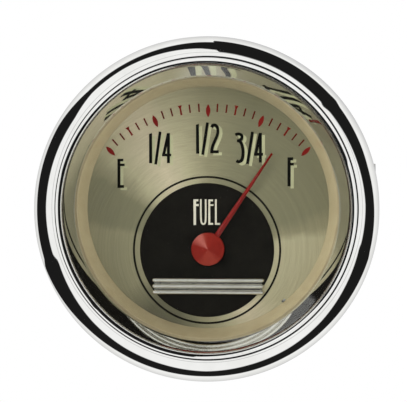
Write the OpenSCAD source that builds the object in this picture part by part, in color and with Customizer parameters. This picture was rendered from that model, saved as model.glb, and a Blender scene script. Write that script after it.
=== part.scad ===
// Dashboard fuel gauge with a deep mirror bezel and a quarter-turn air-core movement.
// Each piece is drawn with the dial facing up (+z), x to the right and y to the top of the dial.
// The module facing() then turns it so that the dial looks along -Y and its top points to +Z.
// The origin is the centre of the bezel's seat, where its back meets the front of the panel.

/* [Bezel] */
// Outside diameter of the case's barrel, just under the panel hole
barrel_d = 53.2; // [48:0.1:60]
// How far the bezel stands out round the barrel
bezel_over = 3.55; // [3.1:0.05:4.5]
// Thickness of the spun sheet that the bezel is made of
sheet_t = 0.55; // [0.4:0.05:0.7]
// Radius of the round flank outside the crest
flank_r = 3.7; // [3.3:0.05:4.2]
// Radius that rolls the sheet over the crest
roll_r = 1.9; // [1.6:0.05:2.4]
// Turn of that roll towards the mirror wall, in degrees
roll_turn = 23; // [18:1:28]
// Inside radius of the tighter bend from there into the mirror wall
edge_in_r = 0.1; // [0.05:0.05:0.3]
// Distance from the crest in to the mouth, at the foot of the mirror wall
mouth_in = 3.3; // [2.8:0.05:3.7]
// Lean of the mirror wall away from the axis, in degrees
wall_lean = 28.6; // [24:0.1:34]
// Width of the hem that lies on the gasket
hem_w = 1.75; // [1:0.05:2.2]
// Gap between the crimped edge and the barrel
crimp_gap = 1.15; // [0.8:0.05:1.6]
// Radius of the crimped edge's outer corner
crimp_round = 0.35; // [0.1:0.05:0.5]

/* [Front stack] */
// Height of the dial's face in front of the panel
dial_z = 0.9; // [0.7:0.05:1.3]
// Air between the dial and the lens
air_gap = 3.6; // [3:0.1:4.4]
// Thickness of the glass lens
lens_t = 2; // [1.5:0.1:3]
// How far the lens reaches out past the mouth
lens_lap = 1.7; // [1.3:0.05:2]
// Bevel on the edges of the lens
lens_bevel = 0.2; // [0.1:0.05:0.4]
// Thickness of the rubber ring between the lens and the hem
gasket_t = 0.4; // [0.2:0.05:0.8]
// How far the rubber ring stays back from the mouth
gasket_back = 0.3; // [0.1:0.05:0.6]
// How far the spacer ring's window lies inside the mouth
window_in = 1.85; // [1.5:0.05:2.6]
// How far the top of its slope lies inside the mouth
slope_in = 0.5; // [0.3:0.05:1]
// How far the spacer ring's rim stays below the lens's face
rim_back = 0.2; // [0.1:0.05:0.6]
// Thickness of the spacer ring's rim and foot
rim_t = 1; // [0.6:0.1:1.2]
// How far the spacer ring's foot stays inside the case
step_back = 1.4; // [1.2:0.1:2]

/* [Dial] */
// How far the dial plate reaches under the spacer ring
dial_lap = 1.8; // [1:0.1:2.4]
// Thickness of the dial plate
dial_t = 0.6; // [0.4:0.1:0.8]
// Distance of the pointer's axis below the centre of the dial
pivot_drop = 7.3; // [6:0.1:7.6]
// Radius of the hole in the dial round the spindle
dial_hole_r = 1.8; // [1.2:0.1:2.2]
// Width of the locating notch in the dial's edge
notch_w = 0.75; // [0.5:0.05:1.2]
// How far the notch reaches in past the spacer ring
notch_show = 0.35; // [0.2:0.05:0.6]
// Direction of the notch, in degrees clockwise from the top
notch_turn = 141; // [120:1:160]
// Length of the bright trim strip
trim_l = 19.8; // [14:0.1:22]
// Width of one of its ribs
trim_rib_w = 0.76; // [0.5:0.02:1]
// Distance from rib to rib
trim_pitch = 1.08; // [1.02:0.02:1.4]
// Number of ribs
trim_ribs = 3; // [2:1:3]
// Height of the trim strip over the dial
trim_h = 0.6; // [0.4:0.05:0.7]
// Thickness of the web that joins the ribs
trim_web_t = 0.2; // [0.1:0.05:0.3]
// Distance of the trim strip below the centre of the dial
trim_drop = 13.9; // [12.5:0.05:15]

/* [Pointer] */
// Reading at rest, in degrees clockwise from straight up
reading = 33.75; // [-45:0.25:45]
// Half of the sweep from empty to full
half_sweep = 45; // [40:1:50]
// Travel past either end of the scale before the stop
over_travel = 2; // [1:0.5:4]
// Length of the pointer from its axis to its tip
pointer_l = 20.3; // [16:0.1:20.6]
// Width of the pointer's blade at the hub
blade_root_w = 1; // [0.7:0.05:1.3]
// Width of the pointer's blade at the tip
blade_tip_w = 0.38; // [0.3:0.02:0.6]
// Thickness of the blade's flat edges
blade_t = 0.12; // [0.1:0.02:0.2]
// Height of the blade's ridge over its edges
blade_ridge = 0.2; // [0.1:0.02:0.3]
// Gap between the blade and the trim strip that it can pass over
blade_gap = 0.2; // [0.1:0.05:0.4]
// Radius of the hub cap
hub_r = 2.92; // [2.5:0.02:3.2]
// Wall of the hub cap round its hollow
hub_wall = 0.6; // [0.5:0.05:0.8]
// Thickness of the hub cap over the blade, at its rim
hub_skin = 0.08; // [0.06:0.02:0.16]
// Rise of the hub cap's cone over its rim
hub_rise = 0.5; // [0.3:0.05:0.6]
// Radius that rounds the tip of that cone
hub_tip_r = 0.35; // [0.2:0.05:0.6]
// Radius that rounds the hub cap's upper edge
hub_round = 0.15; // [0.1:0.01:0.2]
// How far the hub cap reaches below the blade
hub_lap = 0.05; // [0.02:0.01:0.1]
// Radius of the spindle
spindle_r = 0.55; // [0.4:0.05:0.7]

/* [Movement] */
// Radius of the magnet
magnet_r = 7.3; // [6:0.1:8.2]
// Thickness of the magnet
magnet_t = 3.6; // [3:0.1:5]
// Gap round the magnet in the bobbin
magnet_gap = 0.7; // [0.4:0.1:1]
// Gap in front of the magnet and behind it
magnet_end_gap = 2.8; // [2.4:0.1:3.2]
// Least wall of the bobbin round its cavity
bobbin_side = 1.2; // [1:0.1:1.6]
// Thickness of the bobbin's end walls
bobbin_wall = 1.9; // [1.6:0.1:2.2]
// Thickness of one winding
coil_t = 1.6; // [1:0.1:1.9]
// Distance from the axis to the near edge of a band of wire
coil_split = 1.85; // [1.7:0.05:2.4]
// Play between the windings and what they go round
coil_play = 0.1; // [0.05:0.05:0.2]
// Gap between the bands of wire and the bobbin's feet
coil_gap = 0.2; // [0.1:0.05:0.4]
// Gap between the outer winding and the plate
plate_room = 0.9; // [0.5:0.1:2]
// Wall of the bushings
bushing_wall = 0.6; // [0.4:0.05:0.8]
// Length of the bushings
bushing_l = 2.5; // [1.5:0.1:3]
// Floor of the rear bushing behind the spindle
bushing_floor = 0.4; // [0.3:0.1:0.6]
// Wall of the necks round the bushings
neck_wall = 0.45; // [0.3:0.05:0.6]
// Floor of the rear neck behind its bushing
neck_floor = 0.3; // [0.2:0.1:0.6]
// Wall of the bobbin's feet round their screws
foot_wall = 0.45; // [0.3:0.05:0.6]
// How far the feet stay inside the bobbin's sides
foot_in = 0.25; // [0.1:0.05:0.4]
// Radius of the stop pin on the magnet
stop_r = 0.5; // [0.3:0.05:0.6]
// Distance of the stop pin from the axis
stop_at = 5.2; // [4.4:0.1:5.8]
// Wall left behind the groove that the stop pin runs in
stop_floor = 0.5; // [0.3:0.1:0.8]
// Gap between the pin's end and the groove's floor
stop_gap = 0.4; // [0.2:0.1:0.7]
// Gap between the shield cup and the corners of the bobbin
shield_gap = 0.2; // [0.1:0.05:0.6]
// Thickness of the shield cup
shield_t = 0.7; // [0.5:0.1:1]
// Thickness of the plate that carries the movement
plate_t = 1; // [0.9:0.1:1.4]
// Gap round the plate inside the case
plate_gap = 0.5; // [0.3:0.1:0.8]
// Radius of the window in front of the lamp
window_r = 6.5; // [5.5:0.1:7.2]
// Radius of the posts that carry the plate
post_r = 2; // [1.7:0.1:2.4]
// Gap between the posts and the case's wall
post_gap = 1.45; // [1.1:0.05:2]
// Directions of the posts, in degrees counter-clockwise from the right
post_angles = [45, 135, 200, 340];
// Shank radius of the small screws
screw_r = 0.9; // [0.7:0.05:1]
// How far the head of a small screw stands out round its shank
screw_head_w = 0.8; // [0.6:0.05:0.9]
// Length of the small screws
screw_l = 5; // [4:0.1:6]
// Room past the tip of a small screw
screw_room = 0.5; // [0.2:0.1:1]
// Width and depth of the slot in a screw's head
slot_w = 0.4; // [0.2:0.05:0.5]

/* [Case] */
// Thickness of the case's sheet
case_t = 0.8; // [0.6:0.1:1]
// Depth of the case behind the panel
case_depth = 36; // [32:0.5:50]
// Radius of the case's back corner
case_round = 2; // [1.2:0.1:4]
// Radius of the bend between barrel and flange
case_bend = 0.4; // [0.2:0.05:0.5]

/* [Terminals] */
// Number of terminals
terminals = 3; // [2:1:3]
// Gap between the insulating washers of two terminals
terminal_gap = 0.6; // [0.4:0.1:2.5]
// Distance of the terminals below the centre
terminal_drop = 15.5; // [15:0.1:17]
// Radius of a terminal stud's free end
terminal_r = 2; // [1.6:0.1:2.2]
// Extra radius where the nuts are threaded on
thread_step = 0.4; // [0.3:0.05:0.5]
// Reach of a terminal stud behind the case
terminal_reach = 15; // [13.5:0.5:20]
// How far a terminal stud's head stands out round its shank
terminal_head_w = 1.2; // [0.8:0.1:1.4]
// Thickness of a terminal stud's head
terminal_head_t = 1; // [0.8:0.1:1.5]
// Wall of the insulating bushes
bush_wall = 0.8; // [0.5:0.1:1]
// How far an insulating bush's collar stands out round the stud
bush_collar_w = 1.5; // [1.3:0.1:1.7]
// Radius of the insulating washers
insulator_r = 4.2; // [3.8:0.1:5]
// Thickness of the insulating washers
insulator_t = 1; // [0.6:0.1:1.5]
// How far the metal washers stay inside the insulating ones
washer_in = 0.3; // [0.2:0.1:0.6]
// Thickness of the metal washers
washer_t = 0.6; // [0.4:0.1:0.8]
// How far the split washers between the nuts stay inside them
wire_washer_in = 0.2; // [0.1:0.05:0.4]
// Thickness of those split washers
wire_washer_t = 0.8; // [0.6:0.1:1]
// Width across the flats of the terminal nuts
terminal_af = 7; // [6:0.1:7.2]
// Thickness of a terminal nut
terminal_nut_t = 3; // [2:0.1:3.2]

/* [Clamp] */
// Radius of the mounting studs
stud_r = 2.4; // [2:0.1:3]
// Distance of each mounting stud from the centre
stud_at = 14; // [13.4:0.1:15]
// Length of the mounting studs past the thumb nuts when these are screwed out
stud_spare = 0.2; // [0.1:0.1:4]
// Radius of a mounting stud's head inside the case
stud_head_r = 4; // [3.6:0.1:4.5]
// Thickness of that head
stud_head_t = 1.2; // [0.8:0.1:2]
// Width across the flats of the nuts that hold the studs
stud_nut_af = 9; // [8:0.1:9.4]
// Thickness of the nuts that hold the studs
stud_nut_t = 2.6; // [2:0.1:2.8]
// Room for the panel between the bezel and the bracket's legs
panel_room = 5.5; // [5:0.1:8]
// Travel of the bracket either way
clamp_travel = 4.5; // [2:0.1:4.6]
// Width of the bracket's strip
strap_w = 12; // [9:0.5:12.4]
// Thickness of the bracket's strip
strap_t = 1.3; // [1:0.1:1.6]
// Inside radius of the bracket's bends
strap_bend = 3; // [1:0.1:4]
// Gap between the barrel and the bracket's legs
leg_gap = 1.6; // [1:0.1:1.8]
// Space left behind the stud nuts when the bracket is tight
leg_spare = 1.2; // [0.5:0.1:3]
// Thickness of the split washers under the thumb nuts
split_t = 0.9; // [0.6:0.1:1.2]
// Outer radius of the split washers
split_r = 4.3; // [4:0.1:5]
// Gap of a split washer
split_gap = 0.6; // [0.4:0.1:1]
// Radius over the knurl of a thumb nut
thumb_r = 5.4; // [5:0.1:6.2]
// Length of a thumb nut
thumb_l = 6.5; // [5:0.1:6.6]
// How far the knurl stands out over the collar
thumb_step = 1.2; // [0.8:0.1:1.8]
// Length of a thumb nut's smooth collar
thumb_collar_l = 1.8; // [1:0.1:2.5]
// Grooves round a thumb nut
thumb_grooves = 20; // [12:1:30]
// Radius of one groove
groove_r = 0.45; // [0.3:0.05:0.5]
// How far a groove's centre lies outside the knurl
groove_out = 0.15; // [0:0.05:0.2]

/* [Lamp] */
// Gap between the lamp's flange and the bracket that it pulls out past
lamp_gap = 0.6; // [0.4:0.1:1.2]
// Outer radius of the lamp socket's tube
socket_r = 5.9; // [5.5:0.1:6.1]
// Thickness of the lamp socket's sheet
socket_t = 0.6; // [0.4:0.1:0.8]
// Width of the lamp socket's flange round the tube
socket_flange_w = 1.5; // [1.2:0.1:2]
// Thickness of that flange
socket_flange_t = 0.8; // [0.6:0.1:1.2]
// Reach of the tube behind the case
socket_reach = 8.5; // [6:0.5:12]
// Reach of the tube into the case
socket_in = 5.5; // [4:0.5:8]
// Number of slits that let the tube's front end spring
socket_slits = 4; // [2:1:6]
// Width of a slit
slit_w = 0.8; // [0.5:0.1:1.2]
// Distance of the slits from the case's back
slit_back = 1.2; // [0.8:0.1:2]
// How much narrower the bulb's glass is than its cap, all round
bulb_in = 0.65; // [0.3:0.05:1.5]
// Length of the bulb's glass
bulb_l = 15; // [10:0.5:18]
// How much narrower the bulb's glass is at its cap
bulb_neck = 0.6; // [0.2:0.1:1]
// Length over which it widens
bulb_shoulder = 2; // [1:0.5:4]
// Length of the bulb's cap
cap_l = 9.5; // [7:0.5:10]
// How far the cap stands out of the tube
cap_stand = 0.5; // [0.2:0.1:1]
// Thickness of the insulating disc behind the bulb
lamp_disc_t = 1.5; // [1:0.1:2]
// Width of the spade terminal
spade_w = 6.3; // [4.8:0.1:6.5]
// Thickness of the spade terminal
spade_t = 0.8; // [0.5:0.1:1]
// Length of the spade terminal
spade_l = 9; // [7:0.5:12]
// Radius of the hole in the spade terminal
spade_hole_r = 0.9; // [0.6:0.1:1.1]
// Distance of that hole from the spade's end
spade_hole_at = 2.2; // [1.8:0.1:3]

/* [Fits] */
// Radial clearance of a turning or sliding fit
run_fit = 0.05; // [0.02:0.01:0.09]
// Radial clearance of a pressed or threaded fit
press_fit = 0.02; // [0.01:0.01:0.04]
// Radial clearance between pieces that are put together once
seat_fit = 0.15; // [0.1:0.05:0.2]
// Radial clearance of the lamp socket and the bracket's holes
loose_fit = 0.3; // [0.3:0.05:0.4]

/* [Hidden] */
$fn = 96;
// How far a cut runs past the surface it opens
cut = 1;
// How far two shapes of one piece reach into each other
lap = 0.4;

// Bezel and front stack
barrel_r = barrel_d / 2;
bezel_r = barrel_r + bezel_over;
crest_r = bezel_r - flank_r;
mouth_r = crest_r - mouth_in;
skirt_in_r = bezel_r - sheet_t;
lens_z = dial_z + air_gap;
hem_z = lens_z + lens_t + gasket_t;
foot_z = hem_z + sheet_t;
edge_r = sheet_t + edge_in_r;
edge_at = crest_r - (roll_r - edge_r) * sin(roll_turn);
wall_top_z = foot_z + (edge_at - edge_r * cos(wall_lean) - mouth_r) / tan(wall_lean);
edge_z = wall_top_z - edge_r * sin(wall_lean);
roll_z = edge_z - (roll_r - edge_r) * cos(roll_turn);
crest_z = roll_z + roll_r;
flank_z = crest_z - flank_r;
lens_r = mouth_r + lens_lap;
slope_r = mouth_r - slope_in;
window_rad = mouth_r - window_in;
dial_r = window_rad + dial_lap;
dial_back_z = dial_z - dial_t;
plate_back_z = dial_back_z - plate_t;

// Case
bore_r = barrel_r - case_t;
flange_r = skirt_in_r - seat_fit;
flange_z = sheet_t + case_t;
back_z = -case_depth;
floor_z = back_z + case_t;

// Pointer
blade_z = dial_z + trim_h + blade_gap;
cap_in_r = hub_r - hub_wall;
hub_z = blade_z - hub_lap;
hub_in_top = blade_z + blade_t + blade_ridge + run_fit;
hub_rim_z = hub_in_top + hub_skin;
hub_top_z = hub_rim_z + hub_rise;
spindle_top_z = (hub_rim_z + hub_top_z) / 2;

// Movement, with its heights measured from the rotor's middle
cavity_r = magnet_r + magnet_gap;
cavity_half = magnet_t / 2 + magnet_end_gap;
core_half = cavity_half + bobbin_wall;
core_r = cavity_r + bobbin_side;
inner_coil_z = core_half + coil_play;
outer_coil_z = inner_coil_z + coil_t + coil_play;
coil_in_r = core_r + coil_play;
neck_l = outer_coil_z + coil_t + coil_play;
rotor_z = plate_back_z - plate_room - outer_coil_z - coil_t;
foot_r = screw_r + foot_wall;
foot_at = core_r - foot_r - foot_in;
coil_w = foot_at - foot_r - coil_gap - coil_split;
bushing_r = spindle_r + run_fit + bushing_wall;
neck_r = bushing_r + neck_wall;
stop_depth = bobbin_wall - stop_floor;
shield_r = core_r * sqrt(2) + shield_gap;
shield_floor_z = rotor_z - neck_l - coil_play;
front_neck_z = plate_back_z + plate_t / 2;
rear_bushing_z = rotor_z - neck_l + neck_floor;
spindle_end_z = rear_bushing_z + bushing_floor + run_fit;
screw_hole_z = dial_back_z - screw_l - screw_room;
post_ring_r = bore_r - post_gap - post_r;

// Terminals
terminal_pitch = 2 * insulator_r + terminal_gap;
insulator_z = back_z - insulator_t;
washer_z = insulator_z - washer_t;
first_nut_z = washer_z - terminal_nut_t;
second_nut_z = first_nut_z - wire_washer_t - terminal_nut_t;
terminal_end_z = back_z - terminal_reach;
thread_r = terminal_r + thread_step;
terminal_bush_r = thread_r + bush_wall;
terminal_head_z = floor_z + insulator_t;

// Clamp
stud_nut_z = back_z - stud_nut_t;
leg_at = barrel_r + leg_gap;
leg_tip_z = -panel_room;
strap_in_z = stud_nut_z - leg_spare - clamp_travel;
strap_out_z = strap_in_z - strap_t;
split_z = strap_out_z - split_t;
thumb_z = split_z - thumb_l;
stud_end_z = thumb_z - clamp_travel - stud_spare;

// Lamp
socket_flange_r = socket_r + socket_flange_w;
lamp_at = strap_w / 2 + lamp_gap + socket_flange_r;
socket_bore_r = socket_r - socket_t;
socket_end_z = back_z - socket_reach;
socket_top_z = floor_z + socket_in;
insert_r = socket_bore_r - seat_fit;
bulb_r = insert_r - bulb_in;
cap_top_z = socket_top_z + cap_stand;
cap_bottom_z = cap_top_z - cap_l;
spade_top_z = cap_bottom_z - lamp_disc_t;

// Points along an arc from angle a0 to a1 about [cx, cy]
function arc(cx, cy, r, a0, a1, steps = 8) =
    [for (i = [0 : steps]) let (a = a0 + (a1 - a0) * i / steps) [cx + r * cos(a), cy + r * sin(a)]];

// Turns a piece so that its +z looks along -Y
module facing() {
    rotate([90, 0, 0]) children();
}

// Cylinder between two heights
module post(r, z0, z1) {
    translate([0, 0, z0]) cylinder(r = r, h = z1 - z0);
}

// Ring between two heights
module ring(outer, inner, z0, z1) {
    difference() {
        post(outer, z0, z1);
        post(inner, z0 - cut, z1 + cut);
    }
}

// Hexagonal nut between two heights
module hex_nut(across, bore, z0, z1) {
    difference() {
        translate([0, 0, z0]) cylinder(d = across / cos(30), h = z1 - z0, $fn = 6);
        post(bore, z0 - cut, z1 + cut);
    }
}

// Puts children on the axis of the pointer
module at_pivot() {
    translate([0, -pivot_drop, 0]) children();
}

// Puts children on the axis of the lamp
module at_lamp() {
    translate([0, lamp_at, 0]) children();
}

// Repeats children at each terminal
module at_terminals() {
    for (i = [0 : terminals - 1])
        translate([(i - (terminals - 1) / 2) * terminal_pitch, -terminal_drop, 0]) children();
}

// Repeats children at both mounting studs
module at_studs() {
    for (side = [-1, 1]) translate([side * stud_at, 0, 0]) children();
}

// Repeats children at the bobbin's four feet
module at_feet() {
    for (x = [-1, 1], y = [-1, 1]) translate([x * foot_at, y * foot_at - pivot_drop, 0]) children();
}

// Repeats children at the posts
module at_posts() {
    for (a = post_angles) rotate([0, 0, a]) translate([post_ring_r, 0, 0]) children();
}

// Countersunk screw with a slot, whose head is flush at z
module flush_screw(z) {
    difference() {
        union() {
            post(screw_r, z - screw_l, z);
            translate([0, 0, z - screw_head_w])
                cylinder(r1 = screw_r, r2 = screw_r + screw_head_w, h = screw_head_w);
        }
        translate([-screw_r - screw_head_w, -slot_w / 2, z - slot_w])
            cube([2 * (screw_r + screw_head_w), slot_w, slot_w + cut]);
    }
}

// Clearance hole for that screw, through stock of thickness t below z
module flush_hole(z, t) {
    hole_r = screw_r + seat_fit;
    post(hole_r, z - t - cut, z + cut);
    translate([0, 0, z - screw_head_w]) cylinder(r1 = hole_r, r2 = hole_r + screw_head_w, h = screw_head_w);
}

// Spun sheet ring: hem, mirror wall, rolled crest, round flank, skirt and crimp, one wall throughout
module bezel() {
    crimp_in_r = barrel_r + crimp_gap;
    color("gainsboro") facing() rotate_extrude() polygon(concat(
        [[mouth_r + hem_w, hem_z], [mouth_r + sheet_t / 3, hem_z], [mouth_r, hem_z + sheet_t / 3]],
        [[mouth_r, foot_z]],
        arc(edge_at, edge_z, edge_r, 180 - wall_lean, 90 + roll_turn, 4),
        arc(crest_r, roll_z, roll_r, 90 + roll_turn, 90, 4),
        arc(crest_r, flank_z, flank_r, 90, 0, 18),
        arc(bezel_r - crimp_round, crimp_round, crimp_round, 0, -90, 4),
        [[crimp_in_r, 0], [crimp_in_r, sheet_t], [skirt_in_r, sheet_t]],
        arc(crest_r, flank_z, flank_r - sheet_t, 0, 90, 18),
        arc(crest_r, roll_z, roll_r - sheet_t, 90, 90 + roll_turn, 4),
        arc(edge_at, edge_z, edge_in_r, 90 + roll_turn, 180 - wall_lean, 4),
        [[mouth_r + sheet_t / cos(wall_lean), foot_z], [mouth_r + hem_w, foot_z]]
    ));
}

// Flat glass with bevelled edges
module lens() {
    color("lightcyan", 0.4) facing() rotate_extrude() polygon([
        [0, lens_z], [lens_r - lens_bevel, lens_z], [lens_r, lens_z + lens_bevel],
        [lens_r, lens_z + lens_t - lens_bevel], [lens_r - lens_bevel, lens_z + lens_t], [0, lens_z + lens_t]
    ]);
}

// Rubber ring that the hem presses on the lens
module lens_gasket() {
    color("black") facing() ring(lens_r - lens_bevel, mouth_r + gasket_back, lens_z + lens_t, hem_z);
}

// Painted ring that slopes from the dial to the lens and locates both
module spacer_ring() {
    rim_in_r = lens_r + seat_fit;
    rim_z = lens_z + lens_t - rim_back;
    step_r = bore_r - step_back;
    key_w = notch_w - 2 * seat_fit;
    color("tan") facing() {
        rotate_extrude() polygon([
            [window_rad, dial_z], [step_r, dial_z], [step_r, flange_z],
            [flange_r, flange_z], [flange_r, flange_z + rim_t],
            [rim_in_r + rim_t, flange_z + rim_t], [rim_in_r + rim_t, rim_z],
            [rim_in_r, rim_z], [rim_in_r, lens_z],
            [slope_r + lens_bevel, lens_z], [slope_r, lens_z - lens_bevel]
        ]);
        rotate([0, 0, 90 - notch_turn]) translate([window_rad + seat_fit, -key_w / 2, dial_back_z])
            cube([dial_r - window_rad - seat_fit, key_w, dial_t]);
    }
}

// Round plate with a hole for the spindle and a notch for the spacer ring's key
module dial_plate() {
    color("darkkhaki") facing() difference() {
        post(dial_r, dial_back_z, dial_z);
        at_pivot() post(dial_hole_r, dial_back_z - cut, dial_z + cut);
        rotate([0, 0, 90 - notch_turn]) translate([window_rad - notch_show, -notch_w / 2, dial_back_z - cut])
            cube([dial_r, notch_w, dial_t + 2 * cut]);
    }
}

// Plain strip of parallel half-round ribs
module dial_trim_bar() {
    color("silver") facing() translate([0, -trim_drop, dial_z]) {
        translate([-trim_l / 2 + trim_rib_w / 2, -(trim_ribs - 1) * trim_pitch / 2, 0])
            cube([trim_l - trim_rib_w, (trim_ribs - 1) * trim_pitch, trim_web_t]);
        for (i = [0 : trim_ribs - 1]) translate([0, (i - (trim_ribs - 1) / 2) * trim_pitch, 0]) trim_rib();
    }
}

// One rib, with a half-round top and quarter-round ends
module trim_rib() {
    half = trim_l / 2 - trim_rib_w / 2;
    wall_h = trim_h - trim_rib_w / 2;
    translate([-half, -trim_rib_w / 2, 0]) cube([2 * half, trim_rib_w, wall_h]);
    intersection() {
        translate([-half, 0, wall_h]) rotate([0, 90, 0]) cylinder(d = trim_rib_w, h = 2 * half);
        translate([-half, -trim_rib_w, wall_h]) cube([2 * half, 2 * trim_rib_w, trim_rib_w]);
    }
    for (side = [-1, 1]) translate([side * half, 0, 0]) {
        cylinder(d = trim_rib_w, h = wall_h);
        translate([0, 0, wall_h]) intersection() {
            sphere(d = trim_rib_w);
            translate([-trim_rib_w, -trim_rib_w, 0]) cube([2 * trim_rib_w, 2 * trim_rib_w, trim_rib_w]);
        }
    }
}

// Section of the blade, flat below and ridged above, laid across its length at x
module blade_section(x, w) {
    translate([x, 0, 0]) rotate([90, 0, 90]) linear_extrude(0.01)
        polygon([[-w / 2, 0], [w / 2, 0], [w / 2, blade_t], [0, blade_t + blade_ridge], [-w / 2, blade_t]]);
}

// Turns and lifts what is drawn along +x to the pointer's place
module along_pointer() {
    at_pivot() translate([0, 0, blade_z]) rotate([0, 0, 90 - reading]) children();
}

// Tapered blade with a ridge, on a round root under the hub cap
module pointer_blade() {
    color("firebrick") facing() along_pointer() difference() {
        union() {
            hull() {
                blade_section(cap_in_r - lap, blade_root_w);
                blade_section(pointer_l - 0.01, blade_tip_w);
            }
            cylinder(r = cap_in_r - seat_fit, h = blade_t);
        }
        post(spindle_r + press_fit, -cut, cut);
    }
}

// Shallow cone over the blade's root, with a slot for the blade
module pointer_hub() {
    gap_w = blade_root_w + 2 * run_fit;
    cone_turn = 90 - atan(hub_rise / hub_r);
    color("firebrick") facing() difference() {
        at_pivot() rotate_extrude() polygon(concat(
            [[0, hub_z], [hub_r, hub_z]],
            arc(hub_r - hub_round, hub_rim_z - hub_round, hub_round, 0, cone_turn, 4),
            arc(0, hub_top_z - hub_tip_r, hub_tip_r, cone_turn, 90, 2)
        ));
        at_pivot() post(cap_in_r, hub_z - cut, hub_in_top);
        at_pivot() post(spindle_r + press_fit, hub_z - cut, spindle_top_z);
        along_pointer() translate([0, -gap_w / 2, -cut])
            cube([hub_r + cut, gap_w, hub_in_top - blade_z + cut]);
    }
}

// Spindle from the rear bushing to the hub cap
module pointer_spindle() {
    color("silver") facing() at_pivot() post(spindle_r, spindle_end_z, spindle_top_z);
}

// Disc magnet with its stop pin, opposite the pointer
module rotor_magnet() {
    color("dimgray") facing() at_pivot() translate([0, 0, rotor_z]) {
        ring(magnet_r, spindle_r + press_fit, -magnet_t / 2, magnet_t / 2);
        rotate([0, 0, 270 - reading]) translate([stop_at, 0, 0])
            post(stop_r, magnet_t / 2 - lap, cavity_half + stop_depth - stop_gap);
    }
}

// Round plate that carries the movement and backs the dial
module movement_plate() {
    color("slategray") facing() difference() {
        post(bore_r - plate_gap, plate_back_z, dial_back_z);
        at_pivot() post(neck_r + seat_fit, plate_back_z - cut, dial_back_z + cut);
        at_lamp() post(window_r, plate_back_z - cut, dial_back_z + cut);
        at_posts() flush_hole(dial_back_z, plate_t);
        at_feet() flush_hole(dial_back_z, plate_t);
    }
}

// Screws that hold the plate to its posts
module plate_screws() {
    color("silver") facing() at_posts() flush_screw(dial_back_z);
}

// Screws that hold the bobbin to the plate
module bobbin_screws() {
    color("silver") facing() at_feet() flush_screw(dial_back_z);
}

// Four posts from the case's back to the plate
module frame_posts() {
    color("silver") facing() at_posts() difference() {
        post(post_r, floor_z, plate_back_z);
        post(screw_r + press_fit, screw_hole_z, plate_back_z + cut);
    }
}

// Square half of the bobbin with its share of the round cavity
module bobbin_half() {
    difference() {
        translate([-core_r, -core_r, 0]) cube([2 * core_r, 2 * core_r, core_half]);
        post(cavity_r, -cut, cavity_half);
    }
}

// Front half: neck, four feet for the screws and the groove that stops the pin
module bobbin_front() {
    stop_wide = stop_r + loose_fit;
    stop_span = half_sweep + over_travel + asin(stop_wide / stop_at);
    color("ivory") facing() difference() {
        union() {
            at_pivot() translate([0, 0, rotor_z]) bobbin_half();
            at_pivot() post(neck_r, rotor_z + core_half - lap, front_neck_z);
            at_feet() post(foot_r, rotor_z + core_half - lap, plate_back_z);
        }
        at_pivot() post(spindle_r + loose_fit, rotor_z, front_neck_z + cut);
        at_pivot() post(bushing_r + press_fit, front_neck_z - bushing_l, front_neck_z + cut);
        at_feet() post(screw_r + press_fit, screw_hole_z, plate_back_z + cut);
        at_pivot() translate([0, 0, rotor_z + cavity_half]) intersection() {
            ring(stop_at + stop_wide, stop_at - stop_wide, -cut, stop_depth);
            translate([0, 0, -cut]) linear_extrude(stop_depth + cut)
                polygon(concat([[0, 0]], arc(0, 0, 2 * stop_at, 270 - stop_span, 270 + stop_span, 6)));
        }
    }
}

// Rear half: neck with the rear bushing's seat
module bobbin_rear() {
    color("ivory") facing() at_pivot() difference() {
        union() {
            translate([0, 0, rotor_z]) mirror([0, 0, 1]) bobbin_half();
            post(neck_r, rotor_z - neck_l, rotor_z - core_half + lap);
        }
        post(spindle_r + loose_fit, rear_bushing_z + bushing_l, rotor_z);
        post(bushing_r + press_fit, rear_bushing_z, rear_bushing_z + bushing_l);
    }
}

// Rectangle of half width x and half height z with round corners
module rounded(x, z, r) {
    square([2 * (x - r), 2 * z], center = true);
    square([2 * x, 2 * (z - r)], center = true);
    for (side = [-1, 1], end = [-1, 1]) translate([side * (x - r), end * (z - r)]) circle(r);
}

// Two bands of wire that go round a core of half width x and half height z
module winding(x, z) {
    for (side = [-1, 1]) translate([0, side * (coil_split + coil_w / 2) + coil_w / 2, 0]) rotate([90, 0, 0])
        linear_extrude(coil_w) difference() {
            rounded(x + coil_t, z + coil_t, coil_t);
            square([2 * x, 2 * z], center = true);
        }
}

// Winding next to the bobbin
module coil_inner() {
    color("peru") facing() at_pivot() translate([0, 0, rotor_z]) winding(coil_in_r, inner_coil_z);
}

// Winding that crosses over the inner one
module coil_outer() {
    color("chocolate") facing() at_pivot() translate([0, 0, rotor_z]) rotate([0, 0, 90])
        winding(coil_in_r, outer_coil_z);
}

// Bushing in the front neck
module front_bushing() {
    color("goldenrod") facing() at_pivot()
        ring(bushing_r, spindle_r + run_fit, front_neck_z - bushing_l, front_neck_z);
}

// Bushing in the rear neck, closed behind the spindle's end
module rear_bushing() {
    color("goldenrod") facing() at_pivot() difference() {
        post(bushing_r, rear_bushing_z, rear_bushing_z + bushing_l);
        post(spindle_r + run_fit, rear_bushing_z + bushing_floor, rear_bushing_z + bushing_l + cut);
    }
}

// Steel cup round the windings, open towards the plate
module shield_cup() {
    color("gray") facing() at_pivot() difference() {
        post(shield_r + shield_t, shield_floor_z - shield_t, plate_back_z);
        post(shield_r, shield_floor_z, plate_back_z + cut);
    }
}

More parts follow.
